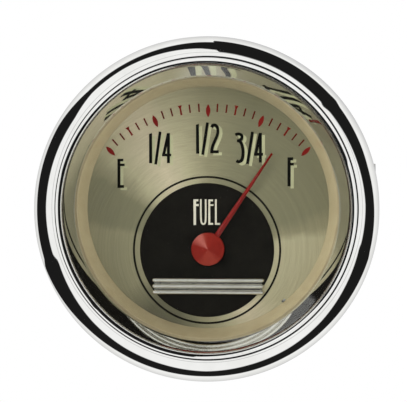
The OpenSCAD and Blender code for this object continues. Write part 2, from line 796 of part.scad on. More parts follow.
// Drawn case with its flange, and the holes in its back
module case_cup() {
    color("lightgray") facing() difference() {
        rotate_extrude() polygon(concat(
            [[0, back_z]],
            arc(barrel_r - case_round, back_z + case_round, case_round, -90, 0, 8),
            arc(barrel_r + case_bend, sheet_t - case_bend, case_bend, 180, 90, 4),
            [[flange_r, sheet_t], [flange_r, flange_z]],
            arc(barrel_r + case_bend, sheet_t - case_bend, case_bend + case_t, 90, 180, 4),
            arc(barrel_r - case_round, back_z + case_round, case_round - case_t, 0, -90, 8),
            [[0, floor_z]]
        ));
        at_terminals() post(terminal_bush_r + press_fit, back_z - cut, floor_z + cut);
        at_studs() post(stud_r + press_fit, back_z - cut, floor_z + cut);
        at_lamp() post(socket_r + loose_fit, back_z - cut, floor_z + cut);
    }
}

// Terminal studs: a head inside, a thicker part under the nuts and a free end
module terminal_studs() {
    color("darkgoldenrod") facing() at_terminals() {
        post(thread_r + terminal_head_w, terminal_head_z, terminal_head_z + terminal_head_t);
        post(thread_r, second_nut_z, terminal_head_z);
        post(terminal_r, terminal_end_z, second_nut_z);
    }
}

// Insulating bushes in the case's back, each with a collar inside
module terminal_bushes() {
    color("saddlebrown") facing() at_terminals() difference() {
        union() {
            post(terminal_bush_r, back_z, floor_z);
            post(thread_r + bush_collar_w, floor_z, terminal_head_z);
        }
        post(thread_r + press_fit, back_z - cut, terminal_head_z + cut);
    }
}

// Insulating washers behind the case
module terminal_insulators() {
    color("saddlebrown") facing() at_terminals()
        ring(insulator_r, thread_r + run_fit, insulator_z, back_z);
}

// Metal washers, and a split washer between each pair of nuts
module terminal_washers() {
    color("silver") facing() at_terminals() {
        ring(insulator_r - washer_in, thread_r + run_fit, washer_z, insulator_z);
        split_washer(terminal_af / 2 - wire_washer_in, thread_r + run_fit, first_nut_z - wire_washer_t,
            first_nut_z);
    }
}

// Two nuts on each terminal stud
module terminal_nuts() {
    color("darkgoldenrod") facing() at_terminals() {
        hex_nut(terminal_af, thread_r + press_fit, first_nut_z, washer_z);
        hex_nut(terminal_af, thread_r + press_fit, second_nut_z, second_nut_z + terminal_nut_t);
    }
}

// Studs that carry the clamp bracket, each with a head inside the case
module mounting_studs() {
    color("silver") facing() at_studs() {
        post(stud_head_r, floor_z, floor_z + stud_head_t);
        post(stud_r, stud_end_z, floor_z);
    }
}

// Nuts that hold the studs in the case's back
module stud_nuts() {
    color("silver") facing() at_studs() hex_nut(stud_nut_af, stud_r + press_fit, stud_nut_z, back_z);
}

// Ring with a slanting gap
module split_washer(outer, inner, z0, z1) {
    difference() {
        ring(outer, inner, z0, z1);
        translate([0, 0, (z0 + z1) / 2]) rotate([30, 0, 0])
            translate([0, -split_gap / 2, -outer]) cube([2 * outer, split_gap, 2 * outer]);
    }
}

// U of strip steel that draws the bezel against the panel
module clamp_bracket() {
    bend_out = strap_bend + strap_t;
    corner_x = leg_at - strap_bend;
    corner_z = strap_in_z + strap_bend;
    leg_out = leg_at + strap_t;
    color("silver") facing() difference() {
        translate([0, strap_w / 2, 0]) rotate([90, 0, 0]) linear_extrude(strap_w) polygon(concat(
            [[-leg_out, leg_tip_z]],
            arc(-corner_x, corner_z, bend_out, 180, 270, 6),
            arc(corner_x, corner_z, bend_out, 270, 360, 6),
            [[leg_out, leg_tip_z], [leg_at, leg_tip_z]],
            arc(corner_x, corner_z, strap_bend, 360, 270, 6),
            arc(-corner_x, corner_z, strap_bend, 270, 180, 6),
            [[-leg_at, leg_tip_z]]
        ));
        at_studs() post(stud_r + loose_fit, strap_out_z - cut, strap_in_z + cut);
    }
}

// Split washers under the thumb nuts
module clamp_washers() {
    color("silver") facing() at_studs() split_washer(split_r, stud_r + loose_fit, split_z, strap_out_z);
}

// Knurled nut with a smooth collar towards the bracket
module thumb_nut() {
    knurl_top_z = split_z - thumb_collar_l;
    difference() {
        union() {
            post(thumb_r - thumb_step, knurl_top_z, split_z);
            post(thumb_r, thumb_z, knurl_top_z);
        }
        post(stud_r + run_fit, thumb_z - cut, split_z + cut);
        for (i = [0 : thumb_grooves - 1]) rotate([0, 0, i * 360 / thumb_grooves])
            translate([thumb_r + groove_out, 0, 0]) post(groove_r, thumb_z - cut, knurl_top_z + cut);
    }
}

// Thumb nut on the left stud, seen from the front
module thumb_nut_left() {
    color("goldenrod") facing() translate([-stud_at, 0, 0]) thumb_nut();
}

// Thumb nut on the right stud, seen from the front
module thumb_nut_right() {
    color("goldenrod") facing() translate([stud_at, 0, 0]) thumb_nut();
}

// Tube with a flange that rests on the case's back, slit at its front end
module lamp_socket() {
    color("silver") facing() at_lamp() difference() {
        union() {
            post(socket_r, socket_end_z, socket_top_z);
            post(socket_flange_r, back_z - socket_flange_t, back_z);
        }
        post(socket_bore_r, socket_end_z - cut, socket_top_z + cut);
        for (i = [0 : socket_slits - 1]) rotate([0, 0, (i + 0.5) * 360 / socket_slits])
            translate([0, -slit_w / 2, floor_z + slit_back]) cube([2 * socket_r, slit_w, socket_in]);
    }
}

// Insulating disc behind the bulb
module lamp_insulator() {
    color("saddlebrown") facing() at_lamp() post(insert_r, spade_top_z, cap_bottom_z);
}

// Flat spade terminal on the disc
module lamp_spade() {
    color("goldenrod") facing() at_lamp() difference() {
        translate([-spade_w / 2, -spade_t / 2, spade_top_z - spade_l]) cube([spade_w, spade_t, spade_l]);
        translate([0, 0, spade_top_z - spade_l + spade_hole_at]) rotate([90, 0, 0])
            cylinder(r = spade_hole_r, h = spade_t + 2 * cut, center = true);
    }
}

// Metal cap of the bulb
module lamp_cap() {
    color("goldenrod") facing() at_lamp() post(insert_r, cap_bottom_z, cap_top_z);
}

// Glass of the bulb, round at the front
module lamp_bulb() {
    color("white", 0.6) facing() at_lamp() rotate_extrude() polygon(concat(
        [[0, cap_top_z], [bulb_r - bulb_neck, cap_top_z], [bulb_r, cap_top_z + bulb_shoulder]],
        arc(0, cap_top_z + bulb_l - bulb_r, bulb_r, 0, 90, 8)
    ));
}

bezel();
lens();
lens_gasket();
spacer_ring();
dial_plate();
dial_trim_bar();
pointer_blade();
pointer_hub();
pointer_spindle();
rotor_magnet();
movement_plate();
plate_screws();
frame_posts();
bobbin_front();
bobbin_rear();
bobbin_screws();
coil_inner();
coil_outer();
front_bushing();
rear_bushing();
shield_cup();
case_cup();
terminal_studs();
terminal_bushes();
terminal_insulators();
terminal_washers();
terminal_nuts();
mounting_studs();
stud_nuts();
clamp_bracket();
clamp_washers();
thumb_nut_left();
thumb_nut_right();
lamp_socket();
lamp_insulator();
lamp_spade();
lamp_cap();
lamp_bulb();
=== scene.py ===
import logging
import math
from dataclasses import dataclass
from enum import Enum
from typing import Callable, Iterable, Sequence

import bmesh
import bpy
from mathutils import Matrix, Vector
from mathutils.geometry import tessellate_polygon

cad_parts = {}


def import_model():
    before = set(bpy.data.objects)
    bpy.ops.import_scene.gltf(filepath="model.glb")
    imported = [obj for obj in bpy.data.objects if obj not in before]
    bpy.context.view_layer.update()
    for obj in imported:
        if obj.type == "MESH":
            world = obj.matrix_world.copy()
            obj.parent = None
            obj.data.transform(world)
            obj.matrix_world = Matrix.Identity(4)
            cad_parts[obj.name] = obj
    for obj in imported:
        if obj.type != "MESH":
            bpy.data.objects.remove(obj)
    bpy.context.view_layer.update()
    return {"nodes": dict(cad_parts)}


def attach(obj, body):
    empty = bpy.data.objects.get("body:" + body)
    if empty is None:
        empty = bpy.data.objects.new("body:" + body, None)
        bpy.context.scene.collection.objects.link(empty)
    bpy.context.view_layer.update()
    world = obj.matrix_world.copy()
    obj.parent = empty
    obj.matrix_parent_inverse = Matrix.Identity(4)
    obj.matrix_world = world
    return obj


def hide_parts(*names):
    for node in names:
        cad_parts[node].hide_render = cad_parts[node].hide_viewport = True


log = logging.getLogger("fuel_gauge")

Point = tuple[float, float]
Triple = tuple[float, float, float]
Tree = bpy.types.NodeTree
Node = bpy.types.Node

# Everything is drawn as in the part's source: millimetres, x to the right, y to the top of the dial and
# z out of the dial towards the driver. row() turns such a point into the frame's metres.
MM = 0.001
# Axis of the bezel and the case, and axis of the pointer below it
ORIGIN: Point = (0.0, 0.0)
PIVOT: Point = (0.0, -7.3)


def row(x: float, y: float, z: float) -> Vector:
    """Turns a drawn point in millimetres into a point of the frame in metres."""
    return Vector((x * MM, -z * MM, y * MM))


def linear(colour: str) -> tuple[float, float, float, float]:
    """Turns an sRGB hex colour into linear RGBA.

    Args:
        colour: Six hex digits after a hash sign.

    Returns:
        The linear colour with an alpha of 1.
    """
    parts = [int(colour[i:i + 2], 16) / 255 for i in (1, 3, 5)]
    r, g, b = (c / 12.92 if c <= 0.04045 else ((c + 0.055) / 1.055) ** 2.4 for c in parts)
    return (r, g, b, 1.0)


def add_node(tree: Tree, kind: str, settings: dict | None = None, links: dict | None = None) -> Node:
    """Adds a shader node, sets it up and links its inputs.

    Args:
        tree: The node tree of a material or the world.
        kind: The node's type without "ShaderNode", and its operation after a point if it has one.
        settings: Values for the node's own properties, or for its inputs by name or number.
        links: Sources for inputs by name or number; a node stands for its first output.

    Returns:
        The new node.
    """
    kind, _, operation = kind.partition(".")
    node = tree.nodes.new("ShaderNode" + kind)
    if operation:
        node.operation = operation
    for key, value in (settings or {}).items():
        if isinstance(key, str) and hasattr(node, key):
            setattr(node, key, value)
        else:
            node.inputs[key].default_value = value
    for key, source in (links or {}).items():
        socket = source if isinstance(source, bpy.types.NodeSocket) else source.outputs[0]
        tree.links.new(socket, node.inputs[key])
    return node


def set_ramp(ramp: bpy.types.ColorRamp, stops: Sequence[tuple[float, tuple]]) -> None:
    """Gives a colour ramp its stops.

    Args:
        ramp: The ramp of a Color Ramp node.
        stops: Pairs of position and linear RGBA, in order.
    """
    while len(ramp.elements) < len(stops):
        ramp.elements.new(1.0)
    for element, (place, colour) in zip(ramp.elements, stops):
        element.position = place
        element.color = colour


# Shapes


# Thread: its depth as part of the pitch, rows of points a turn, how far crests and roots are flattened,
# and the chamfer at its end
THREAD_DEPTH, THREAD_ROWS, THREAD_FLAT, THREAD_CHAMFER = 0.55, 6, 0.2, 0.1
# Nut: the part of its width where the chamfer of 30 degrees starts, heights of the chamfer's steps, the
# countersink of its bore, and how far its bore clears the stud
NUT_FACE, NUT_RISE, NUT_SINK, NUT_PLAY = 0.485, (0.0, 0.06, 0.12, 0.2, 0.3, 0.42), 0.3, 0.02
# Broken edges of a stud's head, below and on top
HEAD_EDGE, HEAD_TOP = 0.15, 0.2
# Washers: rounding of their edges, and how far a spring washer's cut leans for each millimetre of thickness
WASHER_EDGE, WASHER_LEAN = 0.12, 0.58


def polar(centre: Point, radius: float, angle: float, height: float) -> Triple:
    """Point at a radius, an angle in radians and a height round an upright axis."""
    return (centre[0] + radius * math.cos(angle), centre[1] + radius * math.sin(angle), height)


def rim(radii: Sequence[float], rise: Sequence[float], low: float, high: float) -> list[Point]:
    """Edge of a turned part whose radii shrink by the same steps towards either face."""
    steps = list(zip(radii, rise))
    return [*[(r, low + d) for r, d in steps], *[(r, high - d) for r, d in steps[::-1]]]


def stud_head(radius: float, low: float, high: float) -> list[Point]:
    """Section of a stud's head with its edges broken."""
    return [(radius - HEAD_EDGE, low), (radius, low + HEAD_EDGE), (radius, high - HEAD_TOP),
            (radius - HEAD_TOP, high)]


class Shape:
    """Points and faces of one piece while it is drawn, in millimetres."""

    def __init__(self) -> None:
        """Starts an empty piece."""
        self.points: list[Triple] = []
        self.faces: list[tuple[int, ...]] = []

    def skin(self, start: int, count: int, ring: bool = False, loop: bool = True) -> None:
        """Joins the rows of points that were added last with four-sided faces.

        Args:
            start: Number of the first row's first point.
            count: Points in a row.
            ring: True when the last row joins the first.
            loop: True when the last point of each row joins its first.
        """
        rows = (len(self.points) - start) // count
        for j in range(rows if ring else rows - 1):
            here, there = start + j * count, start + (j + 1) % rows * count
            for k in range(count if loop else count - 1):
                n = (k + 1) % count
                self.faces.append((here + k, there + k, there + n, here + n))

    def close(self, start: int, count: int) -> None:
        """Closes the first and the last of those rows with one face each."""
        for first in (start, len(self.points) - count):
            self.faces.append(tuple(range(first, first + count)))

    def turn(self, section: Callable[[float], Sequence[Point]], steps: int = 192,
             centre: Point = ORIGIN, closed: bool = True) -> "Shape":
        """Turns a profile round an axis that stands on the dial.

        Args:
            section: Gives the profile as points of radius and height at an angle in degrees.
            steps: Number of profiles round the turn.
            centre: Place of the axis.
            closed: True for a ring, whose last point joins its first; False for a solid on the axis.

        Returns:
            The shape itself.
        """
        start = len(self.points)
        for i in range(steps):
            angle = 360 * i / steps
            self.points += [polar(centre, r, math.radians(angle), z) for r, z in section(angle)]
        self.skin(start, (len(self.points) - start) // steps, True, closed)
        return self

    def spin(self, profile: Sequence[Point], steps: int = 192, centre: Point = ORIGIN,
             closed: bool = True) -> "Shape":
        """Turns one fixed profile round an axis."""
        return self.turn(lambda angle: profile, steps, centre, closed)

    def prism(self, outline: Sequence[Point], low: float, high: float,
              holes: Sequence[Sequence[Point]] = ()) -> "Shape":
        """Raises a flat outline, with holes if given, from one height to another.

        Args:
            outline: The outer outline.
            low: Height of the lower face.
            high: Height of the upper face.
            holes: Outlines of holes.

        Returns:
            The shape itself.
        """
        loops = [list(outline), *[list(hole) for hole in holes]]
        flat = [point for loop in loops for point in loop]
        at, count = len(self.points), len(flat)
        self.points += [(x, y, z) for z in (low, high) for x, y in flat]
        for a, b, c in tessellate_polygon([[Vector((x, y, 0)) for x, y in loop] for loop in loops]):
            self.faces += [(at + a, at + b, at + c), (at + count + c, at + count + b, at + count + a)]
        for loop in loops:
            for k in range(len(loop)):
                a, b = at + k, at + (k + 1) % len(loop)
                self.faces.append((a, b, b + count, a + count))
            at += len(loop)
        return self

    def stud(self, radius: float, low: float, high: float, pitch: float, tail: Sequence[Point],
             centre: Point, steps: int = 40) -> "Shape":
        """Winds a thread up a rod from its chamfered end, and goes on with a plain profile.

        Args:
            radius: Radius over the thread.
            low: Height of the chamfered end.
            high: Height where the thread runs out.
            pitch: Rise of one turn.
            tail: Points of radius and height above the thread, up to the rod's other end.
            centre: Place of the axis.
            steps: Number of points round the rod.

        Returns:
            The shape itself.
        """
        start, depth = len(self.points), THREAD_DEPTH * pitch
        count = math.ceil((high - low) / pitch * THREAD_ROWS)

        def reach(z: float, i: int) -> float:
            """Gives the thread's radius.

            Args:
                z: Height.
                i: Number of the point round the rod.

            Returns:
                The radius there.
            """
            flank = abs(2 * (((z - low) / pitch - i / steps) % 1.0) - 1)
            cut = min(max((1 + 2 * THREAD_FLAT) * flank - THREAD_FLAT, 0.0), 1.0)
            return min(radius - depth * cut, radius - depth + THREAD_CHAMFER + z - low)

        heights = [low + (high - low) * j / count for j in range(count + 1)]
        rows = [([reach(z, i) for i in range(steps)], z) for z in heights]
        for radii, z in rows + [([r] * steps, z) for r, z in tail]:
            self.points += [polar(centre, r, math.tau * i / steps, z) for i, r in enumerate(radii)]
        self.skin(start, steps)
        self.close(start, steps)
        return self

    def nut(self, across: float, bore: float, low: float, high: float, centre: Point) -> "Shape":
        """Makes a hexagonal nut with chamfered corners and a countersunk bore.

        Args:
            across: Width across the flats.
            bore: Radius of the bore.
            low: Height of its lower face.
            high: Height of its upper face.
            centre: Place of the axis.

        Returns:
            The shape itself.
        """
        sink = bore + NUT_SINK

        def section(angle: float) -> list[Point]:
            """Gives the nut's section.

            Args:
                angle: Place round the nut in degrees.

            Returns:
                Points of radius and height.
            """
            flat = across / 2 / math.cos(math.radians(angle % 60 - 30))
            radii = [min(flat, NUT_FACE * across + d * math.sqrt(3)) for d in NUT_RISE]
            return [*rim(radii, NUT_RISE, low, high), (sink, high), (bore, high - NUT_SINK),
                    (bore, low + NUT_SINK), (sink, low)]

        return self.turn(section, 72, centre)

    def split_ring(self, outer: float, inner: float, low: float, high: float, gap: float, centre: Point,
                   steps: int = 64) -> "Shape":
        """Makes a spring washer with rounded edges and a slanting gap.

        Args:
            outer: Outer radius.
            inner: Inner radius.
            low: Height of its lower face.
            high: Height of its upper face.
            gap: Width of the gap.
            centre: Place of the axis.
            steps: Number of sections round it.

        Returns:
            The shape itself.
        """
        edge, middle, start = WASHER_EDGE, (low + high) / 2, len(self.points)
        profile = [(inner + edge, low), (outer - edge, low), (outer, low + edge), (outer, high - edge),
                   (outer - edge, high), (inner + edge, high), (inner, high - edge), (inner, low + edge)]
        half = math.degrees(gap / (outer + inner))
        for i in range(steps + 1):
            angle = math.radians(half + (360 - 2 * half) * i / steps)
            self.points += [polar(centre, r, angle + (z - middle) * WASHER_LEAN / r, z) for r, z in profile]
        self.skin(start, len(profile))
        self.close(start, len(profile))
        return self

    def stand(self) -> "Shape":
        """Stands a flat shape up, so that its heights run up the dial and its outline out of it."""
        self.points = [(x, z, y) for x, y, z in self.points]
        return self

    def build(self, name: str, body: str, slot: str, finish: "Finish", replaces: Iterable[str] = (),
              sharp: float = 30.0) -> bpy.types.Object:
        """Makes the Blender object, dresses it and lets it ride on a body.

        Args:
            name: Name of the piece.
            body: CAD body that carries it.
            slot: Material slot of the record, which is not used.
            finish: Its finish.
            replaces: CAD nodes that it stands for.
            sharp: Edges over this angle in degrees stay sharp.

        Returns:
            The object.
        """
        mesh = bpy.data.meshes.new(name)
        mesh.from_pydata([row(*p) for p in self.points], [], self.faces)
        tidy_mesh(mesh)
        mesh.polygons.foreach_set("use_smooth", [True] * len(mesh.polygons))
        mesh.set_sharp_from_angle(angle=math.radians(sharp))
        mesh.materials.append(finish.material())
        piece = bpy.data.objects.new(name, mesh)
        bpy.context.scene.collection.objects.link(piece)
        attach(piece, body)
        if replaces:
            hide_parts(*replaces)
        log.info("%s: %d faces, rides on %s", name, len(mesh.polygons), body)
        return piece


def tidy_mesh(mesh: bpy.types.Mesh) -> None:
    """Joins doubled points, drops empty faces and turns all normals outwards.

    Args:
        mesh: The mesh to tidy.
    """
    same, empty = 0.0001 * MM, 0.00001 * MM
    shape = bmesh.new()
    shape.from_mesh(mesh)
    bmesh.ops.remove_doubles(shape, verts=shape.verts, dist=same)
    bmesh.ops.dissolve_degenerate(shape, edges=shape.edges, dist=empty)
    bmesh.ops.recalc_face_normals(shape, faces=shape.faces)
    shape.to_mesh(mesh)
    shape.free()


def arc(cx: float, cy: float, r: float, start: float, end: float, steps: int = 12) -> list[Point]:
    """Points along an arc, by angles in degrees counter-clockwise from the first axis."""
    angles = [math.radians(start + (end - start) * i / steps) for i in range(steps + 1)]
    return [(cx + r * math.cos(a), cy + r * math.sin(a)) for a in angles]


def circle(r: float, steps: int = 128, centre: Point = ORIGIN) -> list[Point]:
    """Points of a full circle."""
    return arc(*centre, r, 0, 360 - 360 / steps, steps - 1)


def radial(points: Sequence[Point], degrees: float, centre: Point = ORIGIN) -> list[Point]:
    """Places points given by their way out from an axis and to the left, turned counter-clockwise."""
    c, s = math.cos(math.radians(degrees)), math.sin(math.radians(degrees))
    return [(centre[0] + r * c - t * s, centre[1] + r * s + t * c) for r, t in points]


def curve(points: Sequence[Point], steps: int = 6) -> list[Point]:
    """Smooth line through points.

    Args:
        points: Points that the line passes through.
        steps: Number of stretches between two points.

    Returns:
        The points of the line.
    """
    line: list[Point] = []
    ends = [points[0], *points, points[-1]]
    for four in zip(ends, ends[1:], ends[2:], ends[3:]):
        for i in range(steps):
            t = i / steps
            # Catmull-Rom: the line leaves each point towards the one after next
            line.append(tuple(0.5 * (2 * b + (c - a) * t + (2 * a - 5 * b + 4 * c - d) * t * t
                                     + (3 * b - a - 3 * c + d) * t ** 3) for a, b, c, d in zip(*four)))
    line.append(tuple(points[-1]))
    return line


def ribbon(line: Sequence[Point], width: float | Sequence[float]) -> list[Point]:
    """Outline of a stroke along a line.

    Args:
        line: Middle line of the stroke.
        width: Its width, or its width at each point.

    Returns:
        The closed outline.
    """
    widths = [width] * len(line) if isinstance(width, (int, float)) else list(width)
    left, right = [], []
    for i, (x, y) in enumerate(line):
        x0, y0 = line[max(i - 1, 0)]
        x1, y1 = line[min(i + 1, len(line) - 1)]
        size = math.hypot(x1 - x0, y1 - y0) or 1.0
        nx, ny = (y0 - y1) / size * widths[i] / 2, (x1 - x0) / size * widths[i] / 2
        left.append((x + nx, y + ny))
        right.append((x - nx, y - ny))
    return left + right[::-1]


# Finishes


@dataclass(frozen=True)
class Finish:
    """What every finish has: a name for its material, and one material however often it is used."""

    name: str

    def material(self) -> bpy.types.Material:
        """Gives the finish's material, and makes it the first time.

        Returns:
            The material.
        """
        found = bpy.data.materials.get(self.name)
        if found:
            return found
        made = bpy.data.materials.new(self.name)
        made.use_nodes = True
        made.node_tree.nodes.clear()
        shader = self.shade(made.node_tree)
        add_node(made.node_tree, "OutputMaterial", links={"Surface": shader})
        return made

    def shade(self, tree: Tree) -> Node:
        """Builds the shader and returns its last node."""
        raise NotImplementedError


class Lay(Enum):
    """Which way the fine lines of a worked surface run."""

    NONE = "grains without a direction"
    SPUN = "round an axis that stands on the dial"
    DRAWN = "along the case's axis"
    ROLLED = "across the car, as on strip steel"


# Where nearly all values of a noise lie
NOISE_RANGE = (0.35, 0.65)
# Spun lines: how much noise a turn runs through before it is stretched, and a factor that keeps the two
# halves of a turn from having the same lines
TURN_NOISE, TURN_SKEW = 120, 3.0


def grain(tree: Tree, lay: Lay, size: float, stretch: float = 30.0, centre: Point = ORIGIN) -> Node:
    """Noise whose grains have a real size and follow the way a surface was worked.

    Args:
        tree: Node tree of the material.
        lay: Way the lines run.
        size: Width of one grain in millimetres.
        stretch: How many times longer than wide a grain is.
        centre: Axis of spun lines.

    Returns:
        The noise node, whose first output is its value.
    """
    place = add_node(tree, "TexCoord").outputs["Object"]
    fine, long = 1 / (size * MM), 1 / (size * stretch * MM)
    if lay is Lay.SPUN:
        # The noise runs finely over the radius and the height, and slowly round the axis
        turn = TURN_NOISE / stretch
        arm = add_node(tree, "VectorMath.SUBTRACT", {1: row(*centre, 0)}, {0: place})
        height = add_node(tree, "SeparateXYZ", links={0: arm}).outputs["Y"]
        flat = add_node(tree, "VectorMath.MULTIPLY", {1: (1, 0, 1)}, {0: arm})
        radius = add_node(tree, "VectorMath.LENGTH", links={0: flat}).outputs["Value"]
        way = add_node(tree, "VectorMath.NORMALIZE", links={0: flat})
        along = add_node(tree, "VectorMath.DOT_PRODUCT", {1: (TURN_SKEW * turn, 0, turn)}, {0: way})
        place = add_node(
            tree, "CombineXYZ", links={"X": radius, "Y": height, "Z": along.outputs["Value"]})
    scale = {Lay.NONE: (fine, fine, fine), Lay.SPUN: (fine, fine, 1), Lay.DRAWN: (fine, long, fine),
             Lay.ROLLED: (long, fine, fine)}[lay]
    vector = add_node(tree, "VectorMath.MULTIPLY", {1: scale}, {0: place})
    return add_node(tree, "TexNoise", {"Scale": 1.0, "Detail": 3.0, "Roughness": 0.6}, {"Vector": vector})


def between(tree: Tree, noise: Node, low: float, high: float) -> Node:
    """Maps the middle range of a noise, where nearly all of it lies, onto other values."""
    least, most = NOISE_RANGE
    return add_node(tree, "MapRange", {"From Min": least, "From Max": most, "To Min": low, "To Max": high},
                    {"Value": noise})


def blend(tree: Tree, size: float, one: str, other: str) -> bpy.types.NodeSocket:
    """Mixes two colours in clouds.

    Args:
        tree: Node tree of the material.
        size: Size of the clouds in millimetres.
        one: First sRGB hex colour.
        other: Second sRGB hex colour.

    Returns:
        The socket of the mixed colour.
    """
    clouds = between(tree, grain(tree, Lay.NONE, size), 0, 1)
    mix = add_node(tree, "Mix", {"data_type": "RGBA", 6: linear(one), 7: linear(other)}, {0: clouds})
    return mix.outputs[2]


def clockwise(tree: Tree, way: Node | bpy.types.NodeSocket) -> Node:
    """Turns a direction into its place round the dial.

    Args:
        tree: Node tree of the material or the world.
        way: Source of the direction.

    Returns:
        The node that gives the place, as part of a turn clockwise from straight up.
    """
    split = add_node(tree, "SeparateXYZ", links={0: way}).outputs
    angle = add_node(tree, "Math.ARCTAN2", links={0: split["X"], 1: split["Z"]})
    return add_node(tree, "Math.DIVIDE", {1: math.tau}, {0: angle})


@dataclass(frozen=True)
class Metal(Finish):
    """Bare or plated metal: its colour wanders a little, and its tool marks catch the light.

    The size of a grain is that of the tool marks in millimetres, drawn no finer than about 0.15 mm,
    because finer ones don't show.
    """

    # Clean and tarnished colour, and the least and the most roughness
    colour: str
    tarnish: str
    rough: Point
    lay: Lay = Lay.NONE
    size: float = 0.2
    stretch: float = 30.0
    depth: float = 0.002
    centre: Point = ORIGIN
    # Size of the tarnish's clouds in millimetres
    clouds: float = 5.0

    def shade(self, tree: Tree) -> Node:
        """Builds a metal with cloudy tarnish, tool marks in its gloss and a faint bump from them.

        Args:
            tree: Empty node tree of the material.

        Returns:
            The shader's last node.
        """
        marks = grain(tree, self.lay, self.size, self.stretch, self.centre)
        bump = add_node(tree, "Bump", {"Strength": 0.5, "Distance": self.depth * MM}, {"Height": marks})
        return add_node(tree, "BsdfPrincipled", {"Metallic": 1.0}, {
            "Base Color": blend(tree, self.clouds, self.colour, self.tarnish),
            "Roughness": between(tree, marks, *self.rough), "Normal": bump})


@dataclass(frozen=True)
class Moulded(Finish):
    """Plastic, rubber, laminate, enamel or ink: a solid colour with slight clouds and a fine skin."""

    # The two colours of its clouds, and the least and the most roughness
    colour: str
    shade_colour: str
    rough: Point
    size: float = 0.3
    depth: float = 0.003
    lay: Lay = Lay.NONE
    stretch: float = 30.0
    coat: float = 0.0
    gloss: float = 0.5
    # Size of the colour's clouds in millimetres
    clouds: float = 2.5

    def shade(self, tree: Tree) -> Node:
        """Builds a coloured solid whose skin has the texture of its mould, brush or press.

        Args:
            tree: Empty node tree of the material.

        Returns:
            The shader's last node.
        """
        skin = grain(tree, self.lay, self.size, self.stretch)
        bump = add_node(tree, "Bump", {"Strength": 0.4, "Distance": self.depth * MM}, {"Height": skin})
        return add_node(tree, "BsdfPrincipled", {
            "IOR": 1.5, "Specular IOR Level": self.gloss, "Coat Weight": self.coat, "Coat Roughness": 0.08}, {
            "Base Color": blend(tree, self.clouds, self.colour, self.shade_colour),
            "Roughness": between(tree, skin, *self.rough), "Normal": bump})


@dataclass(frozen=True)
class Glass(Finish):
    """Clear soda-lime glass. Light from the lamps passes it straight, so what lies behind isn't darkened."""

    colour: str = "#FAFCFA"
    smear: float = 0.012
    # Size of the smear's clouds in millimetres
    clouds: float = 6.0

    def shade(self, tree: Tree) -> Node:
        """Builds clear glass with a breath of smear that only softens its gloss.

        Args:
            tree: Empty node tree of the material.

        Returns:
            The shader's last node.
        """
        clouds = grain(tree, Lay.NONE, self.clouds)
        glass = add_node(tree, "BsdfPrincipled", {
            "Base Color": linear(self.colour), "Transmission Weight": 1.0, "IOR": 1.52},
            {"Roughness": between(tree, clouds, 0, self.smear)})
        clear = add_node(tree, "BsdfTransparent")
        ray = add_node(tree, "LightPath").outputs
        passes = add_node(tree, "Math.MAXIMUM", links={0: ray["Is Shadow Ray"], 1: ray["Is Diffuse Ray"]})
        return add_node(tree, "MixShader", links={0: passes, 1: glass, 2: clear})


@dataclass(frozen=True)
class BrushedWithPaintedLight(Finish):
    """Metal brushed or turned in circles round the pointer's axis, then lacquered or dyed.

    The marks are about 0.05 mm apart; they are drawn 0.16 mm apart so that they show. Such a surface spreads
    light into wedges round its axis; here that light and shade is painted into its colour as tinted wedges.
    """

    # Degrees clockwise from straight up, and the tint there: painted highlight or painted shade
    wedges: tuple[tuple[float, str], ...]
    metallic: float
    rough: Point
    contrast: float = 0.09
    coat: float = 0.25
    spread: float = 0.02
    gloss: float = 0.5
    haze: float = 0.0
    # Width of a drawn mark, depth of a mark and size of the waver in the wedges' edges, in millimetres
    mark: float = 0.16
    depth: float = 0.002
    waver: float = 4.0

    def shade(self, tree: Tree) -> Node:
        """Builds a metal with circular marks, a matching anisotropy and wedges of painted highlight and
        shade.

        Args:
            tree: Empty node tree of the material.

        Returns:
            The shader's last node.
        """
        place = add_node(tree, "TexCoord").outputs["Object"]
        arm = add_node(tree, "VectorMath.SUBTRACT", {1: row(*PIVOT, 0)}, {0: place})
        tangent = add_node(tree, "VectorMath.CROSS_PRODUCT", {1: (0, 1, 0)}, {0: arm})
        # Painted highlight and painted shade: the colour takes a tint from the ramp by its place round the
        # pivot, with wavering edges between the wedges
        waver = grain(tree, Lay.NONE, self.waver)
        shifted = add_node(
            tree, "Math.MULTIPLY_ADD", {1: self.spread}, {0: waver, 2: clockwise(tree, arm)})
        centred = add_node(tree, "Math.SUBTRACT", {1: self.spread / 2}, {0: shifted})
        clock = add_node(tree, "Math.FLOORED_MODULO", {1: 1.0}, {0: centred})
        painted_wedge = add_node(tree, "ValToRGB", links={0: clock})
        set_ramp(painted_wedge.color_ramp, [(a / 360, linear(c)) for a, c in self.wedges])
        marks = grain(tree, Lay.SPUN, self.mark, 60.0, PIVOT)
        tone = between(tree, marks, 1 - self.contrast, 1 + self.contrast)
        colour = add_node(tree, "VectorMath.SCALE", links={0: painted_wedge, "Scale": tone})
        bump = add_node(tree, "Bump", {"Strength": 0.35, "Distance": self.depth * MM}, {"Height": marks})
        return add_node(tree, "BsdfPrincipled", {
            "Metallic": self.metallic, "Anisotropic": 0.6, "Coat Weight": self.coat, "Coat Roughness": 0.12,
            "IOR": 1.5, "Specular IOR Level": self.gloss, "Sheen Weight": self.haze,
            "Sheen Tint": linear("#F2E6C8")}, {
            "Base Color": colour, "Roughness": between(tree, marks, *self.rough), "Normal": bump,
            "Tangent": tangent})


# Stainless sheet, spun and then buffed to a mirror: only hair-fine rings are left of the spinning
BUFFED_STEEL = Metal("buffed_stainless", "#F4F4F2", "#EEEEEB", (0.015, 0.04), Lay.SPUN, 0.2, 90.0, 0.0002)
# Float glass, ground at its edge
LENS_GLASS = Glass("float_glass")
# Moulded rubber ring, matt and dusty in its grain
BLACK_RUBBER = Moulded("moulded_rubber", "#1B1A19", "#242321", (0.55, 0.75), 0.15, 0.01)
# Sprayed satin enamel: an even colour with a faint orange peel
TAN_ENAMEL = Moulded("sprayed_enamel", "#B5A784", "#AD9E7B", (0.28, 0.36), 0.5, 0.004, coat=0.5)
